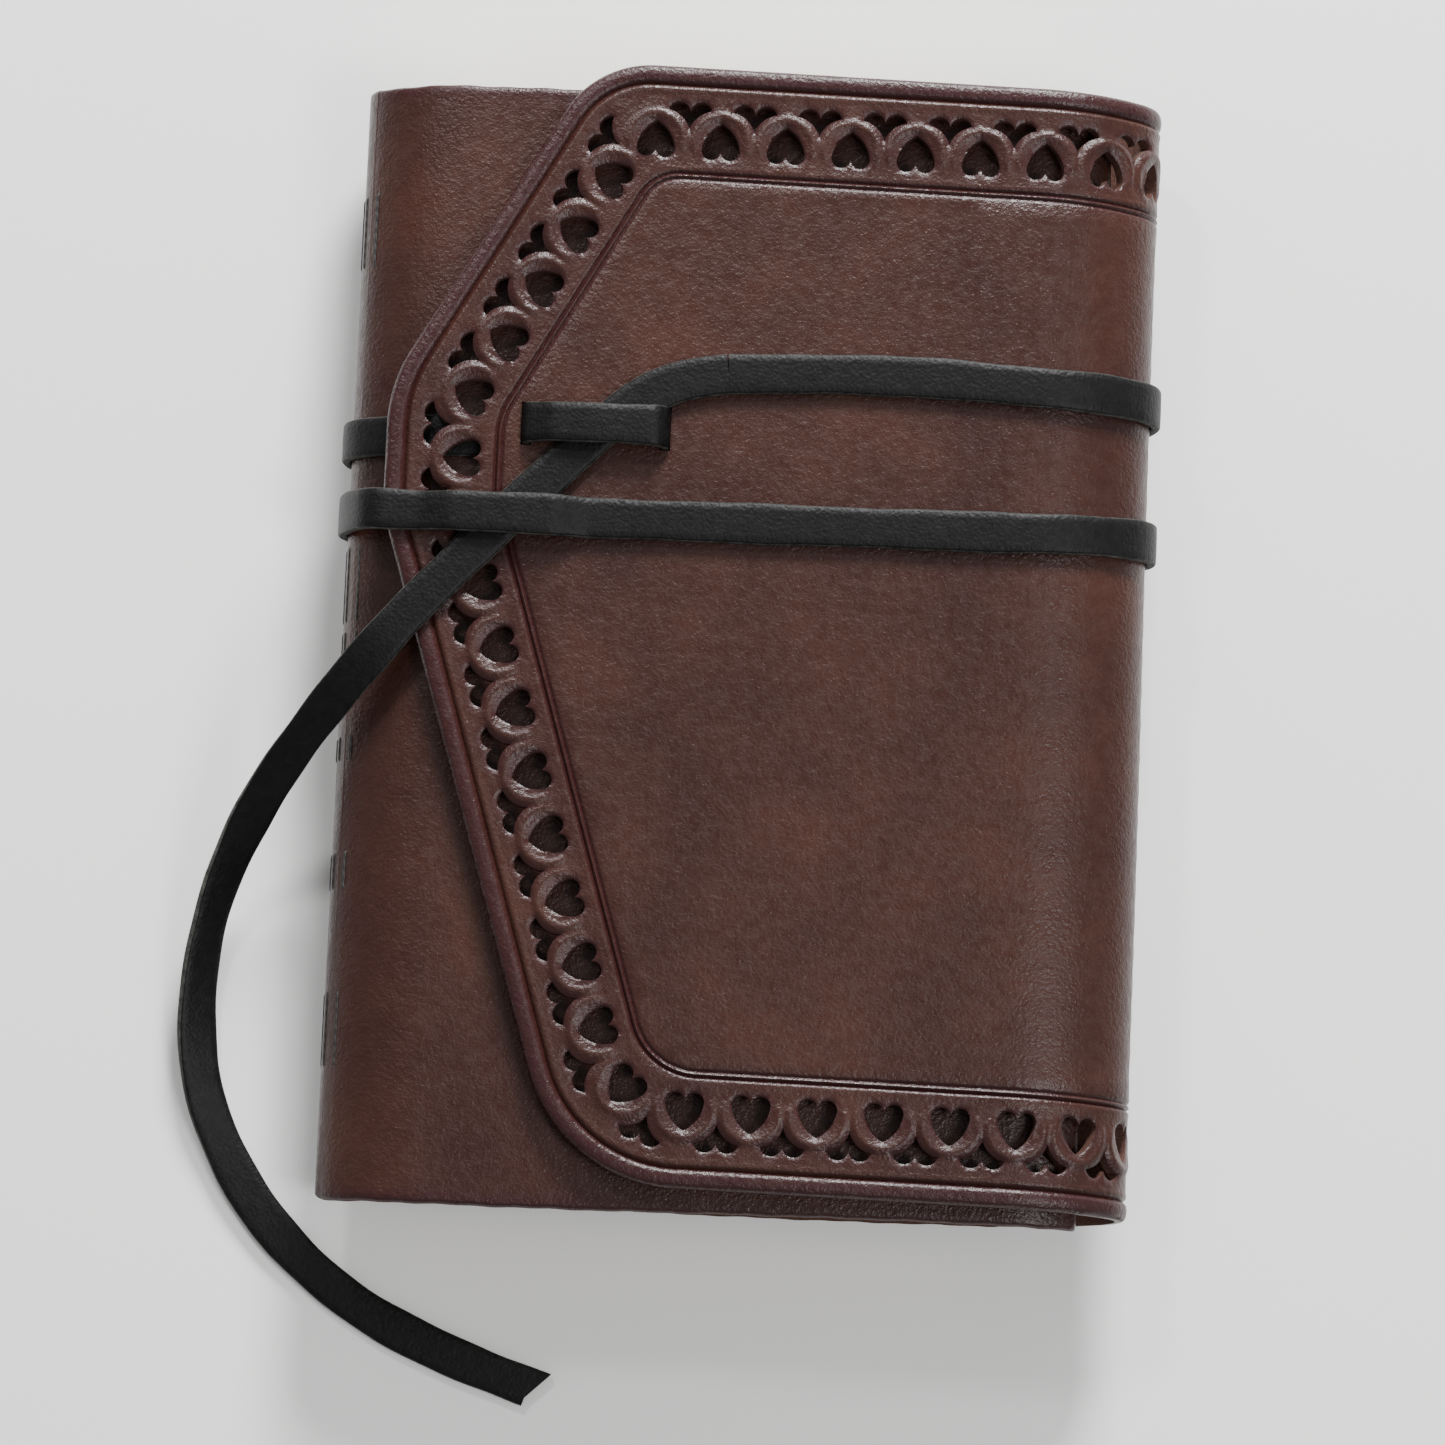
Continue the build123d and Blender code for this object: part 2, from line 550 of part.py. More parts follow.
# The free tail: from the upper front run, under the keeper and the lower front run, over the
# flap's edge and the spine, down to the table and along it. Its route is chosen by hand.
table_line = LACE_THICK / 2
TAIL_ROUTE = [
    (FRONT_RUN_END[0] - 0.6, FRONT_RUN_END[1] - 0.1, low_line),
    (-9.9, 41.9, low_line),
    (-15.8, 39.8, low_line),
    (-21.2, 35.6, low_line),
    (-25.3, 30.6, low_line),
    (-31.3, 23.6, low_line),
    (-38.4, 16.4, low_line),
    (-45.2, 9.0, low_line),
    (-51.9, 1.9, low_line),
    (-57.6, -4.9, low_line),
    (-63.3, -11.3, 24.7),
    (-69.5, -18.3, 19.5),
    (-75.2, -25.6, 14.0),
    (-80.4, -33.6, 8.9),
    (-84.6, -42.4, 4.6),
    (-87.2, -52.4, 1.9),
    (-88.0, -63.0, table_line),
    (-86.4, -73.4, table_line),
    (-82.3, -82.6, table_line),
    (-77.2, -90.7, table_line),
    (-71.0, -97.6, table_line),
    (-64.2, -103.2, table_line),
    (-56.8, -108.2, table_line),
    (-48.6, -112.2, table_line),
    (-39.4, -115.9, table_line),
    (-28.5, -119.1, table_line),
]
# those x are for a flap that reaches to -57.5, and move with it
TAIL_ROUTE[1:] = [(x + FLAP_TIP_X + 57.5, y, z) for x, y, z in TAIL_ROUTE[1:]]


def route_radii(points):
    """The largest corner radii that the runs beside them allow."""
    radii = []
    for before, corner, after in zip(points, points[1:], points[2:]):
        inward = Vector(corner) - Vector(before)
        outward = Vector(after) - Vector(corner)
        turn = math.radians(inward.get_angle(outward))
        radii.append(0.45 * min(inward.length, outward.length) / math.tan(turn / 2))
    return radii


def across_route(point):
    """Distance of a point along the tail's general direction in plan."""
    return point[0] * TAIL_DIRECTION[0] + point[1] * TAIL_DIRECTION[1]


# The tail is its plan-view ribbon, cut to a band that follows its heights from the side.
TAIL_DIRECTION = unit((-51.9, 1.9), (-88.0, -63.0))
tail_plan = [(x, y) for x, y, z in TAIL_ROUTE]
falling = [point for point in TAIL_ROUTE if table_line < point[2] < low_line]
before_fall = TAIL_ROUTE[TAIL_ROUTE.index(falling[0]) - 1]
after_fall = TAIL_ROUTE[TAIL_ROUTE.index(falling[-1]) + 1]
tail_side = [(across_route(TAIL_ROUTE[0]) - LACE_WIDTH, low_line)]
tail_side += [(across_route(point), point[2]) for point in [before_fall] + falling + [after_fall]]
tail_side += [(across_route(TAIL_ROUTE[-1]) + LACE_WIDTH, table_line)]
with BuildPart() as lace_tail:
    with BuildSketch(Plane.XY):
        with BuildLine():
            ribbon(tail_plan, route_radii([(x, y, 0) for x, y in tail_plan]), LACE_WIDTH)
        make_face()
    extrude(amount=OVER_LACE_Z)
    side_axis = Vector(*TAIL_DIRECTION, 0)
    with BuildSketch(Plane(origin=(0, 0, 0), x_dir=side_axis, z_dir=side_axis.cross(Vector(0, 0, 1)))):
        with BuildLine():
            ribbon(tail_side, route_radii([(x, y, 0) for x, y in tail_side]), LACE_THICK)
        make_face()
    extrude(amount=HALF_LENGTH, both=True, mode=Mode.INTERSECT)
finish(lace_tail.part, "lace_tail", LACE_COLOUR)

tail_radii = route_radii(TAIL_ROUTE)
tail_path = FilletPolyline(*TAIL_ROUTE, radius=tail_radii)
tail_section = LACE_WIDTH * LACE_THICK
print("tail radii (mm):", [round(radius) for radius in tail_radii])
print("tail length (mm):", round(tail_path.length, 1))
print("tail volume over section times length:", round(lace_tail.part.volume / (tail_section * tail_path.length), 3))
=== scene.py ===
"""Leather wrap album, closed and tied with a flat lace: the looks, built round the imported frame.

Sizes are in millimetres and become metres where a mesh is made. +X runs from the spine to the fore
edge, +Y up the pages and +Z out of the front cover, as in the frame.
"""

from __future__ import annotations

import logging
import math
from dataclasses import dataclass, field
from enum import IntEnum
from typing import Sequence

import bmesh
import bpy
import numpy as np
from mathutils import Matrix, Vector
from mathutils.geometry import delaunay_2d_cdt


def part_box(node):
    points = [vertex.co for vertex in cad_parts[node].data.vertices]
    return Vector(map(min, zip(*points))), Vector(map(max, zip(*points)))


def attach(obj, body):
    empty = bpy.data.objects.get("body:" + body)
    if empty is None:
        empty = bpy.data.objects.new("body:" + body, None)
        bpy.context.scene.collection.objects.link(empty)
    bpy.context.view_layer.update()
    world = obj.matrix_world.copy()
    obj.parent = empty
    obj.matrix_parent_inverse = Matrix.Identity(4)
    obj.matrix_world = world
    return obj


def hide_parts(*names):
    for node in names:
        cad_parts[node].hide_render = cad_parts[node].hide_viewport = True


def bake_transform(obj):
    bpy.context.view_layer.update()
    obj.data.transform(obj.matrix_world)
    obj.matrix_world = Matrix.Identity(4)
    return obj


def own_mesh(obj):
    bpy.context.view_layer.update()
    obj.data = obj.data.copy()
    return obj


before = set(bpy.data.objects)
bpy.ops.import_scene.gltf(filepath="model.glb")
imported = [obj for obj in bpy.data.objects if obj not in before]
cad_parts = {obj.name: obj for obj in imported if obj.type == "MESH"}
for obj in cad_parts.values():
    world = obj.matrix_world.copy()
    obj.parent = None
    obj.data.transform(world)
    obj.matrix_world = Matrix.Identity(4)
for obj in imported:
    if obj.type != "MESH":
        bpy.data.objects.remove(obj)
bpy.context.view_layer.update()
MM = 0.001
WAVE_PERIOD = 6.28  # a wave texture's bands at scale 1 repeat at about this many times its unit
HOLE_REACH = 6.0  # half size of a box that holds any one opening, in millimetres
HIDE_HEIGHT = 178.0
BACK_SHIFT = -0.7  # middle of the back cover and the pages along Y; the wrap is a little askew
SLITS_X, SLITS_Y = (-35.5, -13.6), 31.9  # the two lace slits: left, right and their middle
log = logging.getLogger("album")

Point = tuple[float, float]


# ------------------------------------------------------------------ colours and nodes
def linear(hex_colour: str) -> tuple[float, float, float, float]:
    """Turns an sRGB hex colour into linear RGBA.

    Args:
        hex_colour: colour such as "#4a2a26".

    Returns:
        Four linear numbers, the last of them 1.
    """
    channels = [int(hex_colour[i : i + 2], 16) / 255 for i in (1, 3, 5)]
    return (*[c / 12.92 if c <= 0.04045 else ((c + 0.055) / 1.055) ** 2.4 for c in channels], 1.0)


def add_node(tree: bpy.types.NodeTree, kind: str, inputs: dict | None = None, **settings) -> bpy.types.Node:
    """Adds one node, with its settings, values and links.

    Args:
        tree: node tree to add to.
        kind: the node's type name.
        inputs: socket name or number to a value or to another node's output.
        settings: attributes of the node itself.

    Returns:
        The new node.
    """
    node = tree.nodes.new(kind)
    for name, value in settings.items():
        setattr(node, name, value)
    for key, value in (inputs or {}).items():
        socket = node.inputs[key]
        if isinstance(value, bpy.types.NodeSocket):
            tree.links.new(value, socket)
        else:
            socket.default_value = value
    return node


def ramp(
    tree: bpy.types.NodeTree, source: bpy.types.NodeSocket, stops: Sequence[tuple[float, str]]
) -> bpy.types.NodeSocket:
    """Colour ramp between hex colours.

    Args:
        tree: node tree to add to.
        source: output that drives the ramp.
        stops: positions and colours.

    Returns:
        The ramp's colour output.
    """
    node = add_node(tree, "ShaderNodeValToRGB", {"Fac": source})
    elements = node.color_ramp.elements
    while len(elements) < len(stops):
        elements.new(0.5)
    for element, (position, colour) in zip(elements, stops):
        element.position = position
        element.color = linear(colour)
    return node.outputs["Color"]


class Side(IntEnum):
    """Which side of the leather a face is, numbered as the piece's materials are."""

    GRAIN = 0
    RAW = 1


def new_material(name: str) -> tuple[bpy.types.Material, bpy.types.NodeTree, bpy.types.Node, bpy.types.NodeSocket]:
    """Makes a material.

    Args:
        name: the material's name.

    Returns:
        The material, its node tree, its shader and the object's own coordinates.
    """
    material = bpy.data.materials.new(name)
    material.use_nodes = True
    tree = material.node_tree
    place = add_node(tree, "ShaderNodeTexCoord").outputs["Object"]
    return material, tree, tree.nodes["Principled BSDF"], place


def noise(tree: bpy.types.NodeTree, place: bpy.types.NodeSocket, size_mm: float, **inputs) -> bpy.types.NodeSocket:
    """Noise of a size in millimetres; the other inputs are the node's own."""
    named = {key.capitalize(): value for key, value in inputs.items()}
    return add_node(tree, "ShaderNodeTexNoise", {"Vector": place, "Scale": 1 / (size_mm * MM), **named}).outputs["Fac"]


def emboss(
    tree: bpy.types.NodeTree, shader: bpy.types.Node, height: bpy.types.NodeSocket, strength: float, depth_mm: float
) -> None:
    """Lets a height shape the shader's surface, as deep as given in millimetres."""
    node = add_node(tree, "ShaderNodeBump", {"Height": height, "Strength": strength, "Distance": depth_mm * MM})
    tree.links.new(node.outputs["Normal"], shader.inputs["Normal"])


@dataclass(frozen=True)
class HideFinish:
    """Vegetable-tanned calf, dyed, oiled and burnished: a soft gloss over a pebbled grain, darker where pressed."""

    name: str = "burnished_veg_tan_leather"
    shade: str = "#2f1713"
    body: str = "#361d17"
    warm: str = "#3e231b"
    burnished: str = "#311618"
    grain_mm: float = 0.62
    pore_mm: float = 0.3
    crease_mm: float = 2.4
    mottle_mm: float = 26.0
    roughness: tuple[float, float] = (0.27, 0.42)
    grain_depth_mm: float = 0.11

    def build(self) -> bpy.types.Material:
        """Makes the material."""
        material, tree, shader, place = new_material(self.name)
        mottle = noise(tree, place, self.mottle_mm, detail=5.0, roughness=0.62)
        fine = noise(tree, place, self.grain_mm * 3, detail=3.0)
        base = ramp(tree, mottle, [(0.32, self.shade), (0.5, self.body), (0.68, self.warm)])
        burnish = add_node(tree, "ShaderNodeAttribute", attribute_name="burnish").outputs["Fac"]
        edged = add_node(
            tree, "ShaderNodeMix", {"Factor": burnish, "A": base, "B": linear(self.burnished)}, data_type="RGBA"
        )
        speckled = add_node(
            tree, "ShaderNodeMix", {"Factor": 0.12, "A": edged.outputs["Result"],
                                    "B": ramp(tree, fine, [(0.35, "#2c1614"), (0.65, "#6a4640")])},
            data_type="RGBA", blend_type="SOFT_LIGHT",
        )
        tree.links.new(speckled.outputs["Result"], shader.inputs["Base Color"])
        grain = add_node(
            tree, "ShaderNodeTexVoronoi", {"Vector": place, "Scale": 1 / (self.grain_mm * MM), "Randomness": 1.0},
            feature="SMOOTH_F1",
        ).outputs["Distance"]
        pores = noise(tree, place, self.pore_mm, detail=2.0)
        creases = noise(tree, place, self.crease_mm, detail=4.0, distortion=0.6)
        surface = add_node(tree, "ShaderNodeMath", {0: grain, 1: pores}, operation="ADD").outputs[0]
        surface = add_node(tree, "ShaderNodeMath", {0: surface, 1: creases}, operation="ADD").outputs[0]
        emboss(tree, shader, surface, 0.7, self.grain_depth_mm)
        rough = add_node(
            tree, "ShaderNodeMapRange", {"Value": fine, "From Min": 0.3, "From Max": 0.7,
                                         "To Min": self.roughness[0], "To Max": self.roughness[1]}
        ).outputs["Result"]
        tree.links.new(rough, shader.inputs["Roughness"])
        shader.inputs["IOR"].default_value = 1.5
        shader.inputs["Specular IOR Level"].default_value = 0.33
        return material


@dataclass(frozen=True)
class RawLeatherFinish:
    """Flesh side and cut edges of the hide: short nap, no gloss, a little darker than the grain side."""

    name: str = "raw_leather_flesh_side"
    dark: str = "#2e1a17"
    pale: str = "#5a3f36"
    nap_mm: float = 0.4
    nap_depth_mm: float = 0.15

    def build(self) -> bpy.types.Material:
        """Makes the material."""
        material, tree, shader, place = new_material(self.name)
        nap = noise(tree, place, self.nap_mm, detail=6.0, roughness=0.7)
        tree.links.new(ramp(tree, nap, [(0.3, self.dark), (0.7, self.pale)]), shader.inputs["Base Color"])
        emboss(tree, shader, nap, 0.6, self.nap_depth_mm)
        shader.inputs["Roughness"].default_value = 0.85
        shader.inputs["Specular IOR Level"].default_value = 0.2
        return material


@dataclass(frozen=True)
class LaceFinish:
    """Black dyed lace leather: waxed grain with fine pebbling, or the greyer fibres of its cut edge."""

    name: str
    dark: str
    light: str
    roughness: float
    grain_mm: float = 0.55
    depth_mm: float = 0.05
    blotch_mm: float = 1.6

    def build(self) -> bpy.types.Material:
        """Makes the material."""
        material, tree, shader, place = new_material(self.name)
        blotch = noise(tree, place, self.blotch_mm, detail=8.0, roughness=0.7)
        tree.links.new(ramp(tree, blotch, [(0.34, self.dark), (0.7, self.light)]), shader.inputs["Base Color"])
        cells = add_node(
            tree, "ShaderNodeTexVoronoi", {"Vector": place, "Scale": 1 / (self.grain_mm * MM)}, feature="SMOOTH_F1"
        ).outputs["Distance"]
        height = add_node(tree, "ShaderNodeMath", {0: cells, 1: blotch}, operation="ADD").outputs[0]
        emboss(tree, shader, height, 0.55, self.depth_mm)
        shader.inputs["Roughness"].default_value = self.roughness
        shader.inputs["Specular IOR Level"].default_value = 0.2
        return material


@dataclass(frozen=True)
class PaperFinish:
    """Uncoated cotton paper: matt, cream, with soft fibres."""

    name: str = "uncoated_cotton_paper"
    dark: str = "#d3c6a8"
    pale: str = "#eee5cf"
    fibre_mm: float = 0.8
    fibre_depth_mm: float = 0.05

    def build(self) -> bpy.types.Material:
        """Makes the material."""
        material, tree, shader, place = new_material(self.name)
        fibre = noise(tree, place, self.fibre_mm, detail=6.0, distortion=1.2)
        tree.links.new(ramp(tree, fibre, [(0.3, self.dark), (0.62, self.pale)]), shader.inputs["Base Color"])
        emboss(tree, shader, fibre, 0.3, self.fibre_depth_mm)
        shader.inputs["Roughness"].default_value = 0.9
        return material


@dataclass(frozen=True)
class ThreadFinish:
    """Waxed black linen thread: plies that twist round it, with a dull shine on the wax."""

    name: str = "waxed_linen_thread"
    ply_mm: float = 0.6
    ply_depth_mm: float = 0.08

    def build(self) -> bpy.types.Material:
        """Makes the material."""
        material, tree, shader, place = new_material(self.name)
        turned = add_node(tree, "ShaderNodeMapping", {"Vector": place, "Rotation": (0.6, 0.0, 0.6)}).outputs[0]
        plies = add_node(
            tree, "ShaderNodeTexWave", {"Vector": turned, "Scale": 1 / (self.ply_mm * WAVE_PERIOD * MM)},
            bands_direction="Y",
        ).outputs["Fac"]
        tree.links.new(ramp(tree, plies, [(0.2, "#0b0b0b"), (0.8, "#2a2927")]), shader.inputs["Base Color"])
        emboss(tree, shader, plies, 0.8, self.ply_depth_mm)
        shader.inputs["Roughness"].default_value = 0.5
        return material


@dataclass
class Finishes:
    """Every finish of the album, made once."""

    hide: bpy.types.Material = field(default_factory=lambda: HideFinish().build())
    raw: bpy.types.Material = field(default_factory=lambda: RawLeatherFinish().build())
    lace: bpy.types.Material = field(
        default_factory=lambda: LaceFinish("waxed_black_lace_leather", "#020202", "#101010", 0.48, 0.5, 0.13).build()
    )
    lace_cut: bpy.types.Material = field(
        default_factory=lambda: LaceFinish("cut_edge_of_lace_leather", "#1c1c1b", "#52514e", 0.8, 0.35, 0.1).build()
    )
    paper: bpy.types.Material = field(default_factory=lambda: PaperFinish().build())
    thread: bpy.types.Material = field(default_factory=lambda: ThreadFinish().build())


# ------------------------------------------------------------------ plane geometry
def rounded(points: Sequence[Point], radii: Sequence[float], step_deg: float = 4.0) -> np.ndarray:
    """Open polyline with its inner corners rounded.

    Args:
        points: the corners, with both ends.
        radii: one radius for each inner corner.
        step_deg: turn between two points of a round.

    Returns:
        Points along it, one row each.
    """
    made = [np.array(points[0], float)]
    for index, radius in enumerate(radii, start=1):
        before, corner, after = (np.array(points[index + k], float) for k in (-1, 0, 1))
        inward = (corner - before) / np.linalg.norm(corner - before)
        outward = (after - corner) / np.linalg.norm(after - corner)
        turn = math.atan2(inward[0] * outward[1] - inward[1] * outward[0], inward @ outward)
        if abs(turn) < 1e-4 or radius <= 0:
            made.append(corner)
            continue
        side = math.copysign(1.0, turn)
        first = corner - inward * radius * math.tan(abs(turn) / 2)
        centre = first + side * radius * np.array([-inward[1], inward[0]])
        steps = max(2, math.ceil(abs(math.degrees(turn)) / step_deg))
        spoke = first - centre
        for k in range(steps + 1):
            angle = turn * k / steps
            rotation = np.array([[math.cos(angle), -math.sin(angle)], [math.sin(angle), math.cos(angle)]])
            made.append(centre + rotation @ spoke)
    made.append(np.array(points[-1], float))
    return np.array(made)


def inset_corners(points: Sequence[Point], distance: float) -> list[Point]:
    """Corners of an open polyline moved to its left by a distance.

    Args:
        points: the corners, with both ends.
        distance: how far they move.

    Returns:
        The new corners.
    """
    moved = []
    rows = [np.array(p, float) for p in points]
    for index, point in enumerate(rows):
        before = rows[max(index, 1)] - rows[max(index - 1, 0)]
        after = rows[min(index + 1, len(rows) - 1)] - rows[min(index, len(rows) - 2)]
        before, after = before / np.linalg.norm(before), after / np.linalg.norm(after)
        normal = np.array([-before[1] - after[1], before[0] + after[0]])
        moved.append(tuple(point + distance * normal / ((normal @ normal) / 2)))
    return moved


def arc_through(a: Point, b: Point, c: Point, count: int) -> np.ndarray:
    """Points of the arc from a through b to c.

    Args:
        a: where it starts.
        b: a point on it.
        c: where it ends.
        count: how many points.

    Returns:
        One row for each point.
    """
    (ax, ay), (bx, by), (cx, cy) = a, b, c
    scale = 2 * (ax * (by - cy) + bx * (cy - ay) + cx * (ay - by))
    ux = ((ax**2 + ay**2) * (by - cy) + (bx**2 + by**2) * (cy - ay) + (cx**2 + cy**2) * (ay - by)) / scale
    uy = ((ax**2 + ay**2) * (cx - bx) + (bx**2 + by**2) * (ax - cx) + (cx**2 + cy**2) * (bx - ax)) / scale
    start, middle, end = (math.atan2(y - uy, x - ux) for x, y in (a, b, c))
    tau = 2 * math.pi
    sweep = (end - start) % tau
    if (middle - start) % tau > sweep:
        sweep -= tau
    radius = math.hypot(ax - ux, ay - uy)
    angles = start + sweep * np.linspace(0, 1, count)
    return np.stack([ux + radius * np.cos(angles), uy + radius * np.sin(angles)], axis=1)


def spaced(line: np.ndarray, step: float) -> tuple[np.ndarray, np.ndarray]:
    """Evenly spaced points of a polyline, with the unit normals on its left.

    Args:
        line: points of the polyline.
        step: rough distance between two points.

    Returns:
        The points and the normals.
    """
    lengths = np.linalg.norm(np.diff(line, axis=0), axis=1)
    along = np.concatenate([[0.0], np.cumsum(lengths)])
    count = max(2, math.ceil(along[-1] / step) + 1)
    at = np.linspace(0, along[-1], count)
    points = np.stack([np.interp(at, along, line[:, k]) for k in range(2)], axis=1)
    tangent = np.gradient(points, axis=0)
    tangent /= np.linalg.norm(tangent, axis=1)[:, None]
    return points, np.stack([-tangent[:, 1], tangent[:, 0]], axis=1)


def distance_to(points: np.ndarray, line: np.ndarray) -> np.ndarray:
    """Distance from each point to a polyline.

    Args:
        points: one row for each point.
        line: the polyline's corners.

    Returns:
        One distance for each point.
    """
    best = np.full(len(points), 1e9)
    for a, b in zip(line[:-1], line[1:]):
        d = b - a
        t = np.clip(((points - a) @ d) / max(d @ d, 1e-12), 0, 1)
        best = np.minimum(best, np.linalg.norm(points - a - t[:, None] * d, axis=1))
    return best


def inside(points: np.ndarray, ring: np.ndarray) -> np.ndarray:
    """Which points lie inside a closed ring.

    Args:
        points: one row for each point.
        ring: the ring's corners.

    Returns:
        True for each point inside.
    """
    result = np.zeros(len(points), bool)
    x, y = points[:, 0], points[:, 1]
    for (x0, y0), (x1, y1) in zip(ring, np.roll(ring, -1, axis=0)):
        if y0 == y1:
            continue
        crosses = ((y0 > y) != (y1 > y)) & (x < (x1 - x0) * (y - y0) / (y1 - y0) + x0)
        result ^= crosses
    return result


def bump(value: np.ndarray, centre: float, width: float) -> np.ndarray:
    """Smooth bump of height 1 about a centre."""
    return np.exp(-(((value - centre) / width) ** 2))


def smooth(value: np.ndarray, low: float, high: float) -> np.ndarray:
    """Smooth step from 0 at low to 1 at high."""
    t = np.clip((value - low) / (high - low), 0, 1)
    return t * t * (3 - 2 * t)


def make_piece(
    name: str, vertices: np.ndarray, faces: Sequence[Sequence[int]], materials: Sequence[bpy.types.Material],
    indices: Sequence[int] | None = None, burnish: np.ndarray | None = None, sharp_deg: float = 42.0,
) -> bpy.types.Object:
    """Makes one mesh object from rows in millimetres.

    Args:
        name: the piece's name.
        vertices: one row for each vertex, in millimetres.
        faces: vertex numbers of each face.
        materials: the piece's materials.
        indices: which of them each face has.
        burnish: how burnished each vertex is, from 0 to 1.
        sharp_deg: angle above which an edge is sharp.

    Returns:
        The object, linked to the scene.
    """
    mesh = bpy.data.meshes.new(name)
    mesh.from_pydata((np.asarray(vertices) * MM).tolist(), [], [list(f) for f in faces])
    for material in materials:
        mesh.materials.append(material)
    if indices is not None:
        mesh.polygons.foreach_set("material_index", np.asarray(indices, np.int32))
    mesh.polygons.foreach_set("use_smooth", np.ones(len(mesh.polygons), bool))
    attribute = mesh.attributes.new("burnish", "FLOAT", "POINT")
    amount = np.zeros(len(mesh.vertices)) if burnish is None else burnish
    attribute.data.foreach_set("value", np.asarray(amount, np.float32))
    mesh.set_sharp_from_angle(angle=math.radians(sharp_deg))
    mesh.validate()
    piece = bpy.data.objects.new(name, mesh)
    bpy.context.scene.collection.objects.link(piece)
    log.info("%s: %d vertices, %d faces", name, len(mesh.vertices), len(mesh.polygons))
    return piece


# ------------------------------------------------------------------ the album's section
@dataclass
class Nose:
    """A rounded end of the hide: shoulder arc, nose arc, and the same again above.

    Args:
        side: 1 at the fore edge, -1 at the spine.
        flat_x: where the flat covers end.
        tip_x: the furthest point.
        low_z: outer face of the leather below.
        high_z: outer face above.
    """

    side: int
    flat_x: float
    tip_x: float
    low_z: float
    high_z: float
    angle: float = math.radians(40.0)
    high_angle: float | None = None
    high_x: float | None = None

    def radii(self, depth: float, height: float, angle: float) -> tuple[float, float]:
        """Shoulder and nose radii of a quarter oval of this depth and height."""
        sine, cosine = math.sin(angle), math.cos(angle)
        scale = sine * cosine - (1 - sine) * (1 - cosine)
        shoulder = (depth * cosine - height * (1 - sine)) / scale
        return shoulder, (sine * height - (1 - cosine) * depth) / scale

    def path(self, grow: float = 0.0, step: float = 0.6, middle: float | None = None) -> np.ndarray:
        """Points (x, z, normal x, normal z) round the nose, from below to above.

        Args:
            grow: how far outside the leather the path lies.
            step: rough distance between points.
            middle: height of the tip, or None for half-way.

        Returns:
            One row for each point.
        """
        mid_z = (self.low_z + self.high_z) / 2 if middle is None else middle
        high_x = self.flat_x if self.high_x is None else self.high_x
        high_angle = self.angle if self.high_angle is None else self.high_angle
        rows = []
        for flat_x, angle, height, sign in (
            (self.flat_x, self.angle, mid_z - self.low_z, -1),
            (high_x, high_angle, self.high_z - mid_z, 1),
        ):
            shoulder, nose = self.radii(abs(self.tip_x - flat_x), height, angle)
            half = []
            for centre, radius, start, end in (
                ((flat_x, mid_z + sign * (height - shoulder)), shoulder, 0.0, angle),
                ((self.tip_x - self.side * nose, mid_z), nose, angle, math.pi / 2),
            ):
                count = max(3, math.ceil((radius + grow) * (end - start) / step))
                for k in range(count + 1):
                    a = start + (end - start) * k / count
                    normal = (self.side * math.sin(a), sign * math.cos(a))
                    half.append((centre[0] + (radius + grow) * normal[0], centre[1] + (radius + grow) * normal[1],
                                 *normal))
            kept = [half[0]]
            for row in half[1:]:
                if math.hypot(row[0] - kept[-1][0], row[1] - kept[-1][1]) > 1e-6:
                    kept.append(row)
            rows += kept if sign < 0 else kept[::-1][1:]
        return np.array(rows)


@dataclass
class Frame:
    """Levels and ends of the album, in millimetres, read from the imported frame."""

    back: tuple = field(default_factory=lambda: box_mm("back_cover"))
    front: tuple = field(default_factory=lambda: box_mm("front_cover"))
    flap: tuple = field(default_factory=lambda: box_mm("flap"))
    spine: tuple = field(default_factory=lambda: box_mm("spine"))
    turn: tuple = field(default_factory=lambda: box_mm("fore_edge_turn"))

    def __post_init__(self) -> None:
        """Works out the two noses of the hide."""
        self.leather = self.back[1][2] - self.back[0][2]
        self.back_z = self.back[0][2]
        self.front_top = self.front[1][2]
        self.flap_z, self.flap_top = self.flap[0][2], self.flap[1][2]
        self.spine_x, self.fore_x = self.back[0][0], self.back[1][0]
        self.spine_nose = Nose(-1, self.spine_x, self.spine[0][0], self.back_z, self.front_top)
        self.fore_nose = Nose(1, self.fore_x, self.turn[1][0], self.back_z, self.flap_top)


def box_mm(node: str) -> tuple[np.ndarray, np.ndarray]:
    """A node's lowest and highest corners, in millimetres.

    Args:
        node: the node's name in the frame.

    Returns:
        The lowest and the highest corner.
    """
    low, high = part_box(node)
    return np.array(low) / MM, np.array(high) / MM


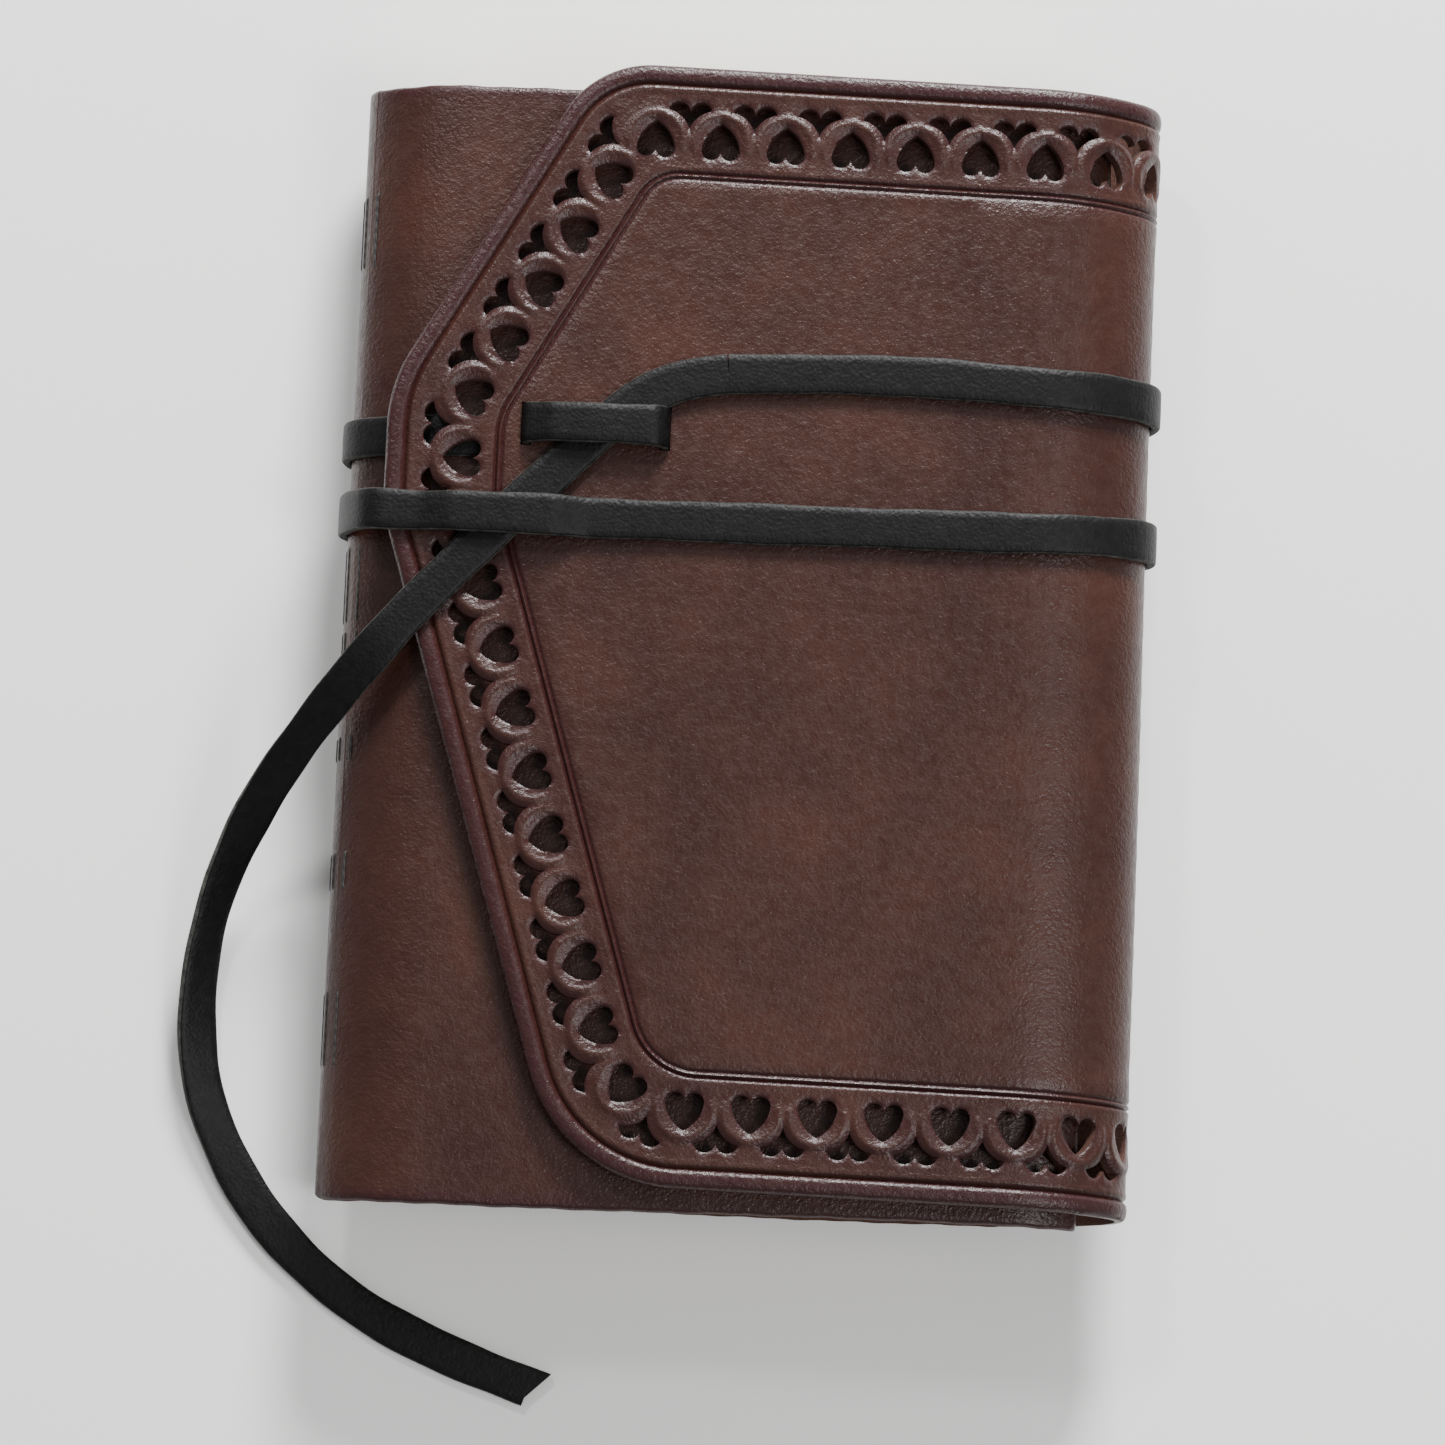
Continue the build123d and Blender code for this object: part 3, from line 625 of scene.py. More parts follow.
# ------------------------------------------------------------------ the pierced flap
@dataclass
class Border:
    """The tooled and pierced border: its lines, hearts and three-pointed leaves, on the flat hide.

    The plan runs on past the flap's fold at fold_x, measured along the outside of the fore-edge turn.
    """

    fold_x: float
    turn_length: float
    top: float = 91.0
    shift: float = 0.6
    back_shift: float = BACK_SHIFT
    height: float = HIDE_HEIGHT
    tip_x: float = -57.5
    top_corner_x: float = -27.0
    tip_y: tuple[float, float] = (37.5, 17.4)
    bottom_corner: Point = (-25.4, -87.2)
    radii: tuple[float, ...] = (16.0, 25.0, 25.0, 25.0)
    heart_inset: float = 12.0
    leaf_inset: float = 8.0
    heart_count: int = 27
    end_margin: float = 9.15
    extra_hearts: int = 3
    groove: float = 3.1
    inner_grooves: tuple[float, float] = (17.4, 18.3)
    inner_radii: tuple[float, ...] = (7.0, 12.0, 12.0, 11.0)

    def corners(self) -> list[Point]:
        """The outline's corners, from the head of the turn round the point to its tail."""
        return [
            (self.fold_x + self.turn_length, self.back_shift + self.height / 2),
            (self.fold_x, self.shift + self.height / 2),
            (self.top_corner_x, self.top),
            (self.tip_x, self.tip_y[0]),
            (self.tip_x, self.tip_y[1]),
            self.bottom_corner,
            (self.fold_x, self.shift - self.height / 2),
            (self.fold_x + self.turn_length, self.back_shift - self.height / 2),
        ]

    def line(self, inset: float, radii: Sequence[float] | None = None) -> np.ndarray:
        """A line parallel to the outline, that far inside it.

        Args:
            inset: how far inside.
            radii: radii of its corners, or None for the outline's less the inset.

        Returns:
            Its points.
        """
        if radii is None:
            radii = [radius - inset for radius in self.radii]
        return rounded(inset_corners(self.corners(), inset), [0.0, *radii, 0.0], 3.0)

    def heart(self) -> np.ndarray:
        """One heart about its centre, its point to +Y, as a ring."""
        right = [arc_through((0, 3.0), (2.16, 1.05), (3.0, -1.05), 11)]
        right.append(arc_through((3.0, -1.05), (1.65, -3.0), (0, -1.8), 12)[1:])
        half = np.concatenate(right)
        return np.concatenate([half, half[-2:0:-1] * (-1, 1)])

    def leaf(self) -> np.ndarray:
        """One three-pointed leaf, its single point to -Y, as a ring about the hearts' line."""
        out = self.heart_inset - self.leaf_inset
        right = [arc_through((0, out - 2.2), (1.4, out - 0.11), (3.5, out + 0.88), 11)]
        right.append(arc_through((3.5, out + 0.88), (1.925, out + 2.2), (0, out + 0.88), 10)[1:])
        half = np.concatenate(right)
        return np.concatenate([half, half[-2:0:-1] * (-1, 1)])

    def stations(self) -> tuple[list, list]:
        """Centres and outward directions of the hearts, and those of the leaves between them.

        Returns:
            The hearts' stations and the leaves' stations.
        """
        flap_line = rounded(
            inset_corners(self.corners()[1:-1], self.heart_inset), [r - self.heart_inset for r in self.radii], 3.0
        )
        whole = self.line(self.heart_inset)
        lengths = np.linalg.norm(np.diff(whole, axis=0), axis=1)
        along = np.concatenate([[0.0], np.cumsum(lengths)])
        flap_length = np.linalg.norm(np.diff(flap_line, axis=0), axis=1).sum()
        start = (along[-1] - flap_length) / 2 + self.end_margin
        step = (flap_length - 2 * self.end_margin) / (self.heart_count - 1)

        def at(distance: float) -> tuple[np.ndarray, np.ndarray]:
            """Point and outward normal at a distance along the hearts' line."""
            point, ahead = (
                np.array([np.interp(distance + k, along, whole[:, axis]) for axis in range(2)]) for k in (0, 0.05)
            )
            tangent = (ahead - point) / np.linalg.norm(ahead - point)
            return point, np.array([tangent[1], -tangent[0]])

        numbers = range(-self.extra_hearts, self.heart_count + self.extra_hearts)
        hearts = [at(start + number * step) for number in numbers]
        leaves = [at(start + (number + 0.5) * step) for number in list(numbers)[:-1]]
        return hearts, leaves

    def place(self, ring: np.ndarray, station: tuple[np.ndarray, np.ndarray]) -> np.ndarray:
        """A ring moved to a station, its +Y turned to the outline.

        Args:
            ring: the ring about its own centre.
            station: where it goes and which way is outward.

        Returns:
            The ring in its place.
        """
        point, out = station
        along = np.array([out[1], -out[0]])
        return point + ring[:, :1] * along + ring[:, 1:] * out


@dataclass
class WrapFlap:
    """Fore-edge turn and flap of the hide, with its pierced border and lace slits."""

    frame: Frame
    finishes: Finishes
    slit_x: tuple[float, float] = SLITS_X
    slit_y: float = SLITS_Y
    slit_half: tuple[float, float] = (0.85, 3.45)
    band_step: float = 0.46
    row_step: float = 0.9
    panel_step: float = 2.6
    edge_roll: float = 0.8

    def __post_init__(self) -> None:
        """Unrolls the outside of the turn."""
        self.round = self.frame.fore_nose.path(0.0, 0.4)[::-1]
        steps = np.linalg.norm(np.diff(self.round[:, :2], axis=0), axis=1)
        self.round_at = np.concatenate([[0.0], np.cumsum(steps)])
        self.border = Border(self.frame.fore_x, self.round_at[-1])

    def wrap(self, plan: np.ndarray, height: np.ndarray) -> np.ndarray:
        """Lays plan points on the closed hide.

        Args:
            plan: (x, y) on the flat hide, x running on round the turn.
            height: how far each stands out of the leather's outer face.

        Returns:
            Points (x, y, z).
        """
        past = np.clip(plan[:, 0] - self.frame.fore_x, 0, self.round_at[-1])
        x, z, nx, nz = (np.interp(past, self.round_at, self.round[:, k]) for k in range(4))
        x = np.where(plan[:, 0] < self.frame.fore_x, plan[:, 0], x)
        return np.stack([x + nx * height, plan[:, 1], z + nz * height], axis=1)

    def relief(self, plan: np.ndarray) -> tuple[np.ndarray, np.ndarray]:
        """Height of the tooled surface and how burnished it is, at plan points.

        Args:
            plan: (x, y) on the flat hide.

        Returns:
            The height in millimetres and the burnish from 0 to 1, for each point.
        """
        border = self.border
        edge = distance_to(plan, border.line(0.0))
        end = border.fold_x + border.turn_length - plan[:, 0]
        fade = smooth(end, 0.0, 6.0)
        height = 0.28 * bump(edge, 1.7, 1.1) * fade
        roll = np.clip((self.edge_roll - edge) / self.edge_roll, 0, 1)
        height -= self.edge_roll * (1 - np.sqrt(1 - roll**2))
        height -= 0.5 * bump(edge, border.groove, 0.30) * fade
        height += 0.14 * bump(edge, border.groove + 0.85, 0.4) * fade
        burnish = 0.85 * smooth(3.6 - edge, 0.0, 1.2)
        for inset, depth in zip(border.inner_grooves, (0.42, 0.30)):
            away = distance_to(plan, border.line(inset, [r - inset + 17.4 for r in border.inner_radii]))
            height -= depth * bump(away, 0.0, 0.27) * fade
            height += 0.08 * bump(away, 0.6, 0.35) * fade
            burnish = np.maximum(burnish, 0.7 * bump(away, 0.0, 0.5))
        band = (edge > 3.0) & (edge < 18.0)
        rows = plan[band]
        hearts, leaves = border.stations()
        added, shine = np.zeros(len(rows)), np.zeros(len(rows))
        for stations, ring, is_heart in ((hearts, border.heart(), True), (leaves, border.leaf(), False)):
            for point, out in stations:
                near = np.linalg.norm(rows - point, axis=1) < 8.0
                local = rows[near] - point
                across, outward = local @ np.array([out[1], -out[0]]), local @ out
                away = distance_to(np.stack([across, outward], axis=1), np.concatenate([ring, ring[:1]]))
                if is_heart:
                    reach = np.hypot(across, outward + 0.2)
                    arch = 0.34 * bump(reach, 4.35, 0.62) * smooth(outward, -2.6, -0.6)
                    added[near] = np.maximum(added[near], arch)
                added[near] -= 0.26 * np.exp(-away / 0.3)
                shine[near] = np.maximum(shine[near], 0.75 * np.exp(-away / 0.8))
        height[band] += added * fade[band]
        burnish[band] = np.maximum(burnish[band], shine)
        swell = 0.10 * np.sin(plan[:, 0] / 17.0 + 0.6) * np.sin(plan[:, 1] / 23.0)
        return height + swell * smooth(edge, 2.0, 10.0) * smooth(end, 0.0, 20.0), burnish

    def holes(self) -> list[np.ndarray]:
        """Rings of every opening through the flap and turn."""
        hearts, leaves = self.border.stations()
        rings = [self.border.place(self.border.heart(), station) for station in hearts]
        rings += [self.border.place(self.border.leaf(), station) for station in leaves]
        wide, tall = self.slit_half
        for x in self.slit_x:
            corners = [(-wide, -tall), (wide, -tall), (wide, tall), (-wide, tall)]
            rings.append(np.array([(x + a, self.slit_y + b) for a, b in corners]))
        return rings

    def mesh_points(self, outline: np.ndarray, rings: list[np.ndarray]) -> np.ndarray:
        """Free points of the outer face, dense where the border is.

        Args:
            outline: the flat hide's outline.
            rings: the openings, with the two slits last.

        Returns:
            Points inside the outline and clear of every ring.
        """
        rows = []
        border = self.border
        for distance in (0.12, 0.3, 0.52, 0.8, 1.2, 1.7, 2.2, 2.6, 2.85, 3.1, 3.35, 3.6, 3.95, 4.4):
            points, normals = spaced(border.line(0.0), self.row_step)
            rows.append(points + normals * distance)
        points, normals = spaced(border.line(border.inner_grooves[0], border.inner_radii), self.row_step)
        rows += [points + normals * offset for offset in
                 (-0.6, -0.3, -0.15, 0.0, 0.15, 0.3, 0.45, 0.6, 0.75, 0.9, 1.05, 1.2, 1.5)]
        low, high = outline.min(axis=0), outline.max(axis=0)
        for step, near, far in ((self.band_step, 4.6, 16.5), (self.panel_step, 19.6, 500.0)):
            xs, ys = (np.arange(low[k] + step / 2, high[k], step) for k in range(2))
            grid = np.stack(np.meshgrid(xs, ys), axis=-1).reshape(-1, 2)
            grid[:, 0] += step * 0.5 * (np.round((grid[:, 1] - low[1]) / step) % 2)
            away = distance_to(grid, border.line(0.0))
            rows.append(grid[(away > near) & (away < far)])
        for ring in rings[:-2]:
            centre = ring.mean(axis=0)
            for scale in (1.07, 1.16):
                rows.append(centre + (ring - centre) * scale)
        points = np.concatenate(rows)
        keep = inside(points, outline) & (distance_to(points, np.concatenate([outline, outline[:1]])) > 0.08)
        for ring in rings:
            near = np.abs(points - ring.mean(axis=0)).max(axis=1) < HOLE_REACH
            keep[near] &= ~inside(points[near], ring)
            keep[near] &= distance_to(points[near], np.concatenate([ring, ring[:1]])) > 0.13
        return points[keep]

    def triangulate(self, loops: list[np.ndarray], free: np.ndarray) -> tuple[np.ndarray, list, list[list[int]]]:
        """Triangles between an outline and its holes.

        Args:
            loops: the outline first, then each hole.
            free: further points between them.

        Returns:
            The points, the triangles and each loop's vertex numbers.
        """
        fixed = np.concatenate(loops)
        edges, start = [], 0
        for loop in loops:
            edges += [(start + k, start + (k + 1) % len(loop)) for k in range(len(loop))]
            start += len(loop)
        every = np.concatenate([fixed, free])
        points, _, faces, origins, _, _ = delaunay_2d_cdt([Vector(p) for p in every], edges, [], 0, 1e-5)
        plan = np.array(points)[:, :2]
        place = {old: new for new, olds in enumerate(origins) for old in olds}
        faces = np.array([f for f in faces if len(f) == 3])
        middle = plan[faces].mean(axis=1)
        keep = inside(middle, loops[0])
        for ring in loops[1:]:
            near = np.abs(middle - ring.mean(axis=0)).max(axis=1) < HOLE_REACH
            keep[near] &= ~inside(middle[near], ring)
        numbers, start = [], 0
        for loop in loops:
            numbers.append([place[start + k] for k in range(len(loop))])
            start += len(loop)
        return plan, faces[keep].tolist(), numbers

    def build(self) -> bpy.types.Object:
        """Makes the flap with its turn."""
        border = self.border
        edge, _ = spaced(border.line(0.0), 1.0)
        count = math.ceil(border.height / 2.0)
        seam_y = np.linspace(edge[-1, 1], edge[0, 1], count + 1)[1:-1]
        seam = np.stack([np.full(count - 1, border.fold_x + border.turn_length), seam_y], axis=1)
        outline = np.concatenate([edge, seam])
        rings = self.holes()
        loops = [outline, *rings]
        outer, outer_faces, outer_loops = self.triangulate(loops, self.mesh_points(outline, rings))
        xs, ys = np.arange(-56, border.fold_x + border.turn_length, 2.5), np.arange(-90, 92, 3.0)
        grid = np.stack(np.meshgrid(xs, ys), axis=-1).reshape(-1, 2)
        grid = grid[inside(grid, outline) & (distance_to(grid, np.concatenate([outline, outline[:1]])) > 1.0)]
        for ring in rings:
            near = np.abs(grid - ring.mean(axis=0)).max(axis=1) < HOLE_REACH
            grid = grid[~(near & (inside(grid, ring) | (distance_to(grid, np.concatenate([ring, ring[:1]])) < 0.5)))]
        inner, inner_faces, inner_loops = self.triangulate(loops, grid)
        height, burnish = self.relief(outer)
        top = self.wrap(outer, height)
        depth = np.full(len(inner), -self.frame.leather)
        rim = distance_to(inner, border.line(0.0))
        depth += 0.45 * smooth(0.8 - rim, 0.0, 0.8)
        bottom = self.wrap(inner, depth)
        vertices = np.concatenate([top, bottom])
        offset = len(top)
        faces = [tuple(f) for f in outer_faces]
        faces += [tuple(offset + k for k in reversed(f)) for f in inner_faces]
        indices = [Side.GRAIN] * len(outer_faces) + [Side.RAW] * len(inner_faces)
        seam_start = len(edge)
        for number, (above, below) in enumerate(zip(outer_loops, inner_loops)):
            for k in range(len(above)):
                following = (k + 1) % len(above)
                if number == 0 and k >= seam_start - 1:
                    continue
                a, b = above[k], above[following]
                c, d = offset + below[following], offset + below[k]
                faces.append((b, a, d, c))
                indices.append(Side.GRAIN if number == 0 else Side.RAW)
        shade = np.concatenate([burnish, np.full(len(bottom), 0.3)])
        piece = make_piece(
            "hide_flap_and_turn", vertices, faces, [self.finishes.hide, self.finishes.raw], indices, shade, 50.0
        )
        fix_normals(piece)
        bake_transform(piece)
        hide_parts("flap", "fore_edge_turn")
        return piece


def fix_normals(piece: bpy.types.Object) -> None:
    """Turns a closed piece's faces outwards.

    Args:
        piece: the piece.
    """
    mesh = bmesh.new()
    mesh.from_mesh(piece.data)
    bmesh.ops.recalc_face_normals(mesh, faces=mesh.faces)
    mesh.to_mesh(piece.data)
    mesh.free()


# ------------------------------------------------------------------ sweeps
def normalised(rows: np.ndarray) -> np.ndarray:
    """Rows scaled to length 1."""
    return rows / np.maximum(np.linalg.norm(rows, axis=1), 1e-12)[:, None]


def resample(rows: np.ndarray, step: float) -> np.ndarray:
    """Rows spaced evenly along their first three columns, the other columns interpolated.

    Args:
        rows: the points, with any further columns.
        step: rough distance between two points.

    Returns:
        The new rows.
    """
    lengths = np.linalg.norm(np.diff(rows[:, :3], axis=0), axis=1)
    along = np.concatenate([[0.0], np.cumsum(lengths)])
    keep = np.concatenate([[True], lengths > 1e-9])
    at = np.linspace(0, along[-1], math.ceil(along[-1] / step) + 1)
    return np.stack([np.interp(at, along[keep], rows[keep, k]) for k in range(rows.shape[1])], axis=1)


def smoothed(rows: np.ndarray, half_window: int) -> np.ndarray:
    """Moving average with its ends held.

    Args:
        rows: one row for each point.
        half_window: how many neighbours count on each side.

    Returns:
        The smoothed rows.
    """
    padded = np.concatenate([
        2 * rows[:1] - rows[half_window:0:-1], rows, 2 * rows[-1:] - rows[-2 : -half_window - 2 : -1]
    ])
    kernel = np.hanning(2 * half_window + 3)[1:-1]
    kernel /= kernel.sum()
    return np.stack([np.convolve(padded[:, k], kernel, "valid") for k in range(rows.shape[1])], axis=1)


def sweep(
    centres: np.ndarray, ups: np.ndarray, profile: np.ndarray, slant: float = 0.0
) -> tuple[np.ndarray, list[tuple[int, ...]], list[int]]:
    """Sweeps a closed profile along a line.

    Args:
        centres: points of the line.
        ups: what way the profile's second axis faces at each.
        profile: rows (across, up) of the section.
        slant: how far the last section leans along the line for each unit across.

    Returns:
        Vertices, faces and, for each face, the profile's edge it comes from, or -1 at an end.
    """
    along = normalised(np.gradient(centres, axis=0))
    side = normalised(np.cross(along, ups))
    up = np.cross(side, along)
    n, m = len(centres), len(profile)
    rings = centres[:, None] + profile[None, :, :1] * side[:, None] + profile[None, :, 1:] * up[:, None]
    if slant:
        rings[-1] += profile[:, :1] * slant * along[-1]
    faces, origin = [], []
    for i in range(n - 1):
        for j in range(m):
            k = (j + 1) % m
            faces.append((i * m + j, i * m + k, (i + 1) * m + k, (i + 1) * m + j))
            origin.append(j)
    faces += [tuple(range(m))[::-1], tuple((n - 1) * m + j for j in range(m))]
    return rings.reshape(-1, 3), faces, origin + [-1, -1]


def slab_faces(rows: int, columns: int) -> tuple[list[tuple[int, ...]], list[tuple[int, ...]]]:
    """Faces of a closed slab made of two grids of vertices, the outer grid first.

    Args:
        rows: rows of each grid.
        columns: vertices in each row.

    Returns:
        Faces of both sides, the outer and inner ones by turns, then the faces round its edge.
    """
    n, m = rows, columns
    sides = []
    for i in range(n - 1):
        for j in range(m - 1):
            a = i * m + j
            sides.append((a, a + 1, a + m + 1, a + m))
            sides.append((n * m + a, n * m + a + m, n * m + a + m + 1, n * m + a + 1))
    ring = list(range(m)) + [i * m + m - 1 for i in range(1, n)]
    ring += [(n - 1) * m + j for j in range(m - 2, -1, -1)] + [i * m for i in range(n - 2, 0, -1)]
    return sides, [(b, a, n * m + a, n * m + b) for a, b in zip(ring, ring[1:] + ring[:1])]


# ------------------------------------------------------------------ covers and spine
@dataclass
class Covers:
    """The hide behind the flap: back cover and spine, then joint and front cover."""

    frame: Frame
    finishes: Finishes
    back_shift: float = BACK_SHIFT
    front_shift: float = -2.0
    height: float = HIDE_HEIGHT
    edge_roll: float = 0.8
    roll_depth: float = 0.7
    seam_x: float = -62.2
    joint_end_x: float = -55.5
    front_bend_end: float = 56.0
    front_bend_radius: float = 21.99

    def strip(self, name: str, path: np.ndarray, cut_end: bool, phase: float) -> bpy.types.Object:
        """Makes one stretch of hide along a path of its outer face.

        Args:
            name: the piece's name.
            path: rows (x, z, normal x, normal z).
            cut_end: whether the path's last end is a free cut edge.
            phase: where the edge's waver starts.

        Returns:
            The piece.
        """
        rows = resample(np.stack([path[:, 0], path[:, 1], 0 * path[:, 0], path[:, 2], path[:, 3]], axis=1), 0.8)
        rows = rows[:, [0, 1, 3, 4]]
        n = len(rows)
        at = np.concatenate([[0.0], np.cumsum(np.linalg.norm(np.diff(rows[:, :2], axis=0), axis=1))])
        share = (rows[:, 1] - self.frame.back_z) / (self.frame.front_top - self.frame.back_z)
        shift = self.back_shift + (self.front_shift - self.back_shift) * smooth(share, 0.15, 0.85)
        edge_in = np.array([0.0, 0.12, 0.35, 0.7, 1.3, 2.4, 4.2])
        middle = np.linspace(7.5, self.height - 7.5, 52)
        columns = np.concatenate([edge_in, middle, self.height - edge_in[::-1]])
        m = len(columns)
        x, z, nx, nz = (np.repeat(rows[:, k], m) for k in range(4))
        s, shifts = np.repeat(at, m), np.repeat(shift, m)
        c = np.tile(columns, n)
        rim = np.minimum(c, self.height - c)
        waver = 0.05 * np.sin(s / 2.3 + phase) + 0.05 * np.sin(s / 0.97 + 2 * phase) + 0.2 * np.sin(s / 19.0)
        y = shifts - self.height / 2 + c + waver * np.sign(c - self.height / 2) * smooth(4.2 - rim, 0.0, 4.2)
        roll = np.clip((self.edge_roll - rim) / self.edge_roll, 0, 1)
        outer = -self.roll_depth * (1 - np.sqrt(1 - roll**2)) + 0.07 * np.sin(s / 13.0 + phase) * np.sin(y / 17.0)
        if cut_end:
            end = at[-1] - s
            roll = np.clip((self.edge_roll - end) / self.edge_roll, 0, 1)
            outer -= self.roll_depth * (1 - np.sqrt(1 - roll**2))
        inner = -self.frame.leather + 0.35 * (1 - np.sqrt(1 - np.clip((0.5 - rim) / 0.5, 0, 1) ** 2))
        vertices = np.concatenate([
            np.stack([x + nx * offset, y, z + nz * offset], axis=1) for offset in (outer, inner)
        ])
        sides, edge_faces = slab_faces(n, m)
        indices = [Side.GRAIN, Side.RAW] * (len(sides) // 2) + [Side.RAW] * len(edge_faces)
        burnish = np.concatenate([0.75 * smooth(2.6 - rim, 0.0, 1.6), np.zeros(n * m)])
        materials = [self.finishes.hide, self.finishes.raw]
        piece = make_piece(name, vertices, sides + edge_faces, materials, indices, burnish, 50.0)
        fix_normals(piece)
        return piece

    def build(self) -> None:
        """Makes both stretches and joins the back-and-spine stretch to the back body."""
        nose = self.frame.spine_nose.path(0.0, 0.6)
        high = nose[:, 1] > (self.frame.back_z + self.frame.front_top) / 2
        upper = high & (nose[:, 0] > self.seam_x)
        seam = int(np.argmax(upper))
        flat = np.array([[self.frame.fore_x, self.frame.back_z, 0.0, -1.0]])
        back = self.strip("hide_back_and_spine", np.concatenate([flat, nose[: seam + 1]]), False, 0.3)
        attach(back, "back")
        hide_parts("back_cover", "spine")
        top, radius = self.frame.front_top, self.front_bend_radius
        reach = math.asin((self.front_bend_end - self.frame.fore_x) / radius)
        angles = np.linspace(0, reach, 16)
        bend = np.stack([
            self.frame.fore_x + radius * np.sin(angles), top - radius + radius * np.cos(angles),
            np.sin(angles), np.cos(angles),
        ], axis=1)
        front = self.strip("hide_joint_and_front", np.concatenate([nose[seam:], bend]), True, 1.7)
        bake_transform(front)
        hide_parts("front_joint", "front_cover")


# ------------------------------------------------------------------ pages
@dataclass
class Pages:
    """Five sewn signatures of four folded sheets, with their threads."""

    frame: Frame
    finishes: Finishes
    count: int = 5
    sheets: int = 4
    paper: float = 0.25
    leaf_pitch: float = 0.4
    fold_pitch: float = 0.255
    thread_room: float = 0.27
    fold_spacing: float = 2.6
    page_pitch: float = 3.24
    page_low: float = 5.5
    fold_x: tuple[float, ...] = (-54.8, -58.8, -59.9, -58.8, -54.8)
    page_width: float = 102.0
    page_height: float = 172.0
    page_shift: float = BACK_SHIFT
    bend_x: tuple[float, float] = (-51.0, -41.0)
    bend_radius: float = 15.0
    dense_reach: float = 24.0
    stitches: tuple[Point, ...] = ((70.0, 58.0), (13.0, 0.6), (-0.6, -7.0), (-17.5, -21.5), (-36.0, -42.0),
                                   (-58.0, -70.0))
    thread_radius: float = 0.25
    turning: tuple[Point, ...] = ((0.5, 6.0), (1.0, 14.0))

    def heights(self, signature: int) -> tuple[float, float, float]:
        """Fold's x and z and the page block's z of a signature, 1 at the top.

        Args:
            signature: its number.

        Returns:
            The three places, in millimetres.
        """
        rank = (self.count + 1) / 2 - signature
        fold_z = (self.frame.back_z + self.frame.front_top) / 2 + rank * self.fold_spacing
        return self.fold_x[signature - 1], fold_z, self.page_low + (self.count / 2 + rank) * self.page_pitch

    def follow(self, piece: bpy.types.Object, signature: int) -> None:
        """Attaches a piece of a signature to the back body, or for the first signatures only bakes its transform.

        Args:
            piece: a sheet or thread.
            signature: the signature's number.
        """
        if signature <= len(self.turning):
            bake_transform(piece)
        else:
            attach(piece, "back")

    def sheet(self, signature: int, number: int) -> None:
        """Makes one folded sheet; number 1 is the outermost.

        Args:
            signature: the signature's number.
            number: the sheet's place in it.
        """
        fold_x, fold_z, page_z = self.heights(signature)
        k = self.sheets - number
        fold_reach = self.thread_room + (k + 0.5) * self.fold_pitch
        leaf_reach = (k + 0.5) * self.leaf_pitch
        fore = fold_x + self.page_width - math.pi / 2 * fold_reach
        seed = signature * 5 + number
        turn = np.linspace(math.pi / 2, 3 * math.pi / 2, 9)[1:-1]
        bend = np.stack([fold_x + fold_reach * np.cos(turn), fold_z + fold_reach * np.sin(turn)], axis=1)
        rows = []
        for sign in (1, -1):
            leaf_z, at_fold_z = page_z + sign * leaf_reach, fold_z + sign * fold_reach
            corners = [(fore, leaf_z), (self.bend_x[1], leaf_z), (self.bend_x[0], at_fold_z), (fold_x, at_fold_z)]
            half_leaf = rounded(corners, [self.bend_radius] * 2, 6.0)
            lengths = np.concatenate([[0.0], np.cumsum(np.linalg.norm(np.diff(half_leaf, axis=0), axis=1))])
            dense_from = lengths[-1] - self.dense_reach
            stops = np.concatenate([np.linspace(0, dense_from, 34)[:-1], np.linspace(dense_from, lengths[-1], 32)])
            rows.append(np.stack([np.interp(stops, lengths, half_leaf[:, k]) for k in range(2)], axis=1))
        upper_rows, lower_rows = rows
        line = np.concatenate([upper_rows, bend, lower_rows[::-1]])
        tangent = normalised(np.gradient(line, axis=0))
        normal = np.stack([-tangent[:, 1], tangent[:, 0]], axis=1)
        n, m = len(line), 30
        columns = np.linspace(-self.page_height / 2, self.page_height / 2, m)
        x, z = np.repeat(line[:, 0], m), np.repeat(line[:, 1], m)
        side = np.where(np.arange(n) < n / 2, 1.0, -1.0).repeat(m)
        y = self.page_shift + np.tile(columns, n)
        near_edge = smooth(np.abs(np.tile(columns, n)), self.page_height / 2 - 3, self.page_height / 2)
        y += near_edge * np.sign(np.tile(columns, n)) * (
            0.22 * np.sin(x / 3.1 + seed) + 0.18 * math.sin(seed * 2.3) + 0.1 * np.sin(x / 1.1 + side + seed)
        )
        at_fore = smooth(x, fore - 3, fore)
        x = x + at_fore * (0.3 * np.sin(y / 4.7 + seed * 1.7) + 0.15 * np.sin(y / 1.6 + seed + side)
                           + 0.35 * math.sin(seed * 4.1 + 1))
        away = smooth(x, -45.0, 0.0)
        z = z + away * 0.05 * np.sin(x / 13.0 + y / 21.0) + at_fore * 0.04 * np.sin(y / 9.0 + seed)
        nx, nz = np.repeat(normal[:, 0], m), np.repeat(normal[:, 1], m)
        half = self.paper / 2
        vertices = np.concatenate([np.stack([x + nx * o, y, z + nz * o], axis=1) for o in (half, -half)])
        sides, edge_faces = slab_faces(n, m)
        piece = make_piece(
            f"leaf_{signature}_{number}", vertices, sides + edge_faces, [self.finishes.paper], sharp_deg=60.0
        )
        fix_normals(piece)
        self.follow(piece, signature)
        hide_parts(f"signature_{signature}_sheet_{number}")

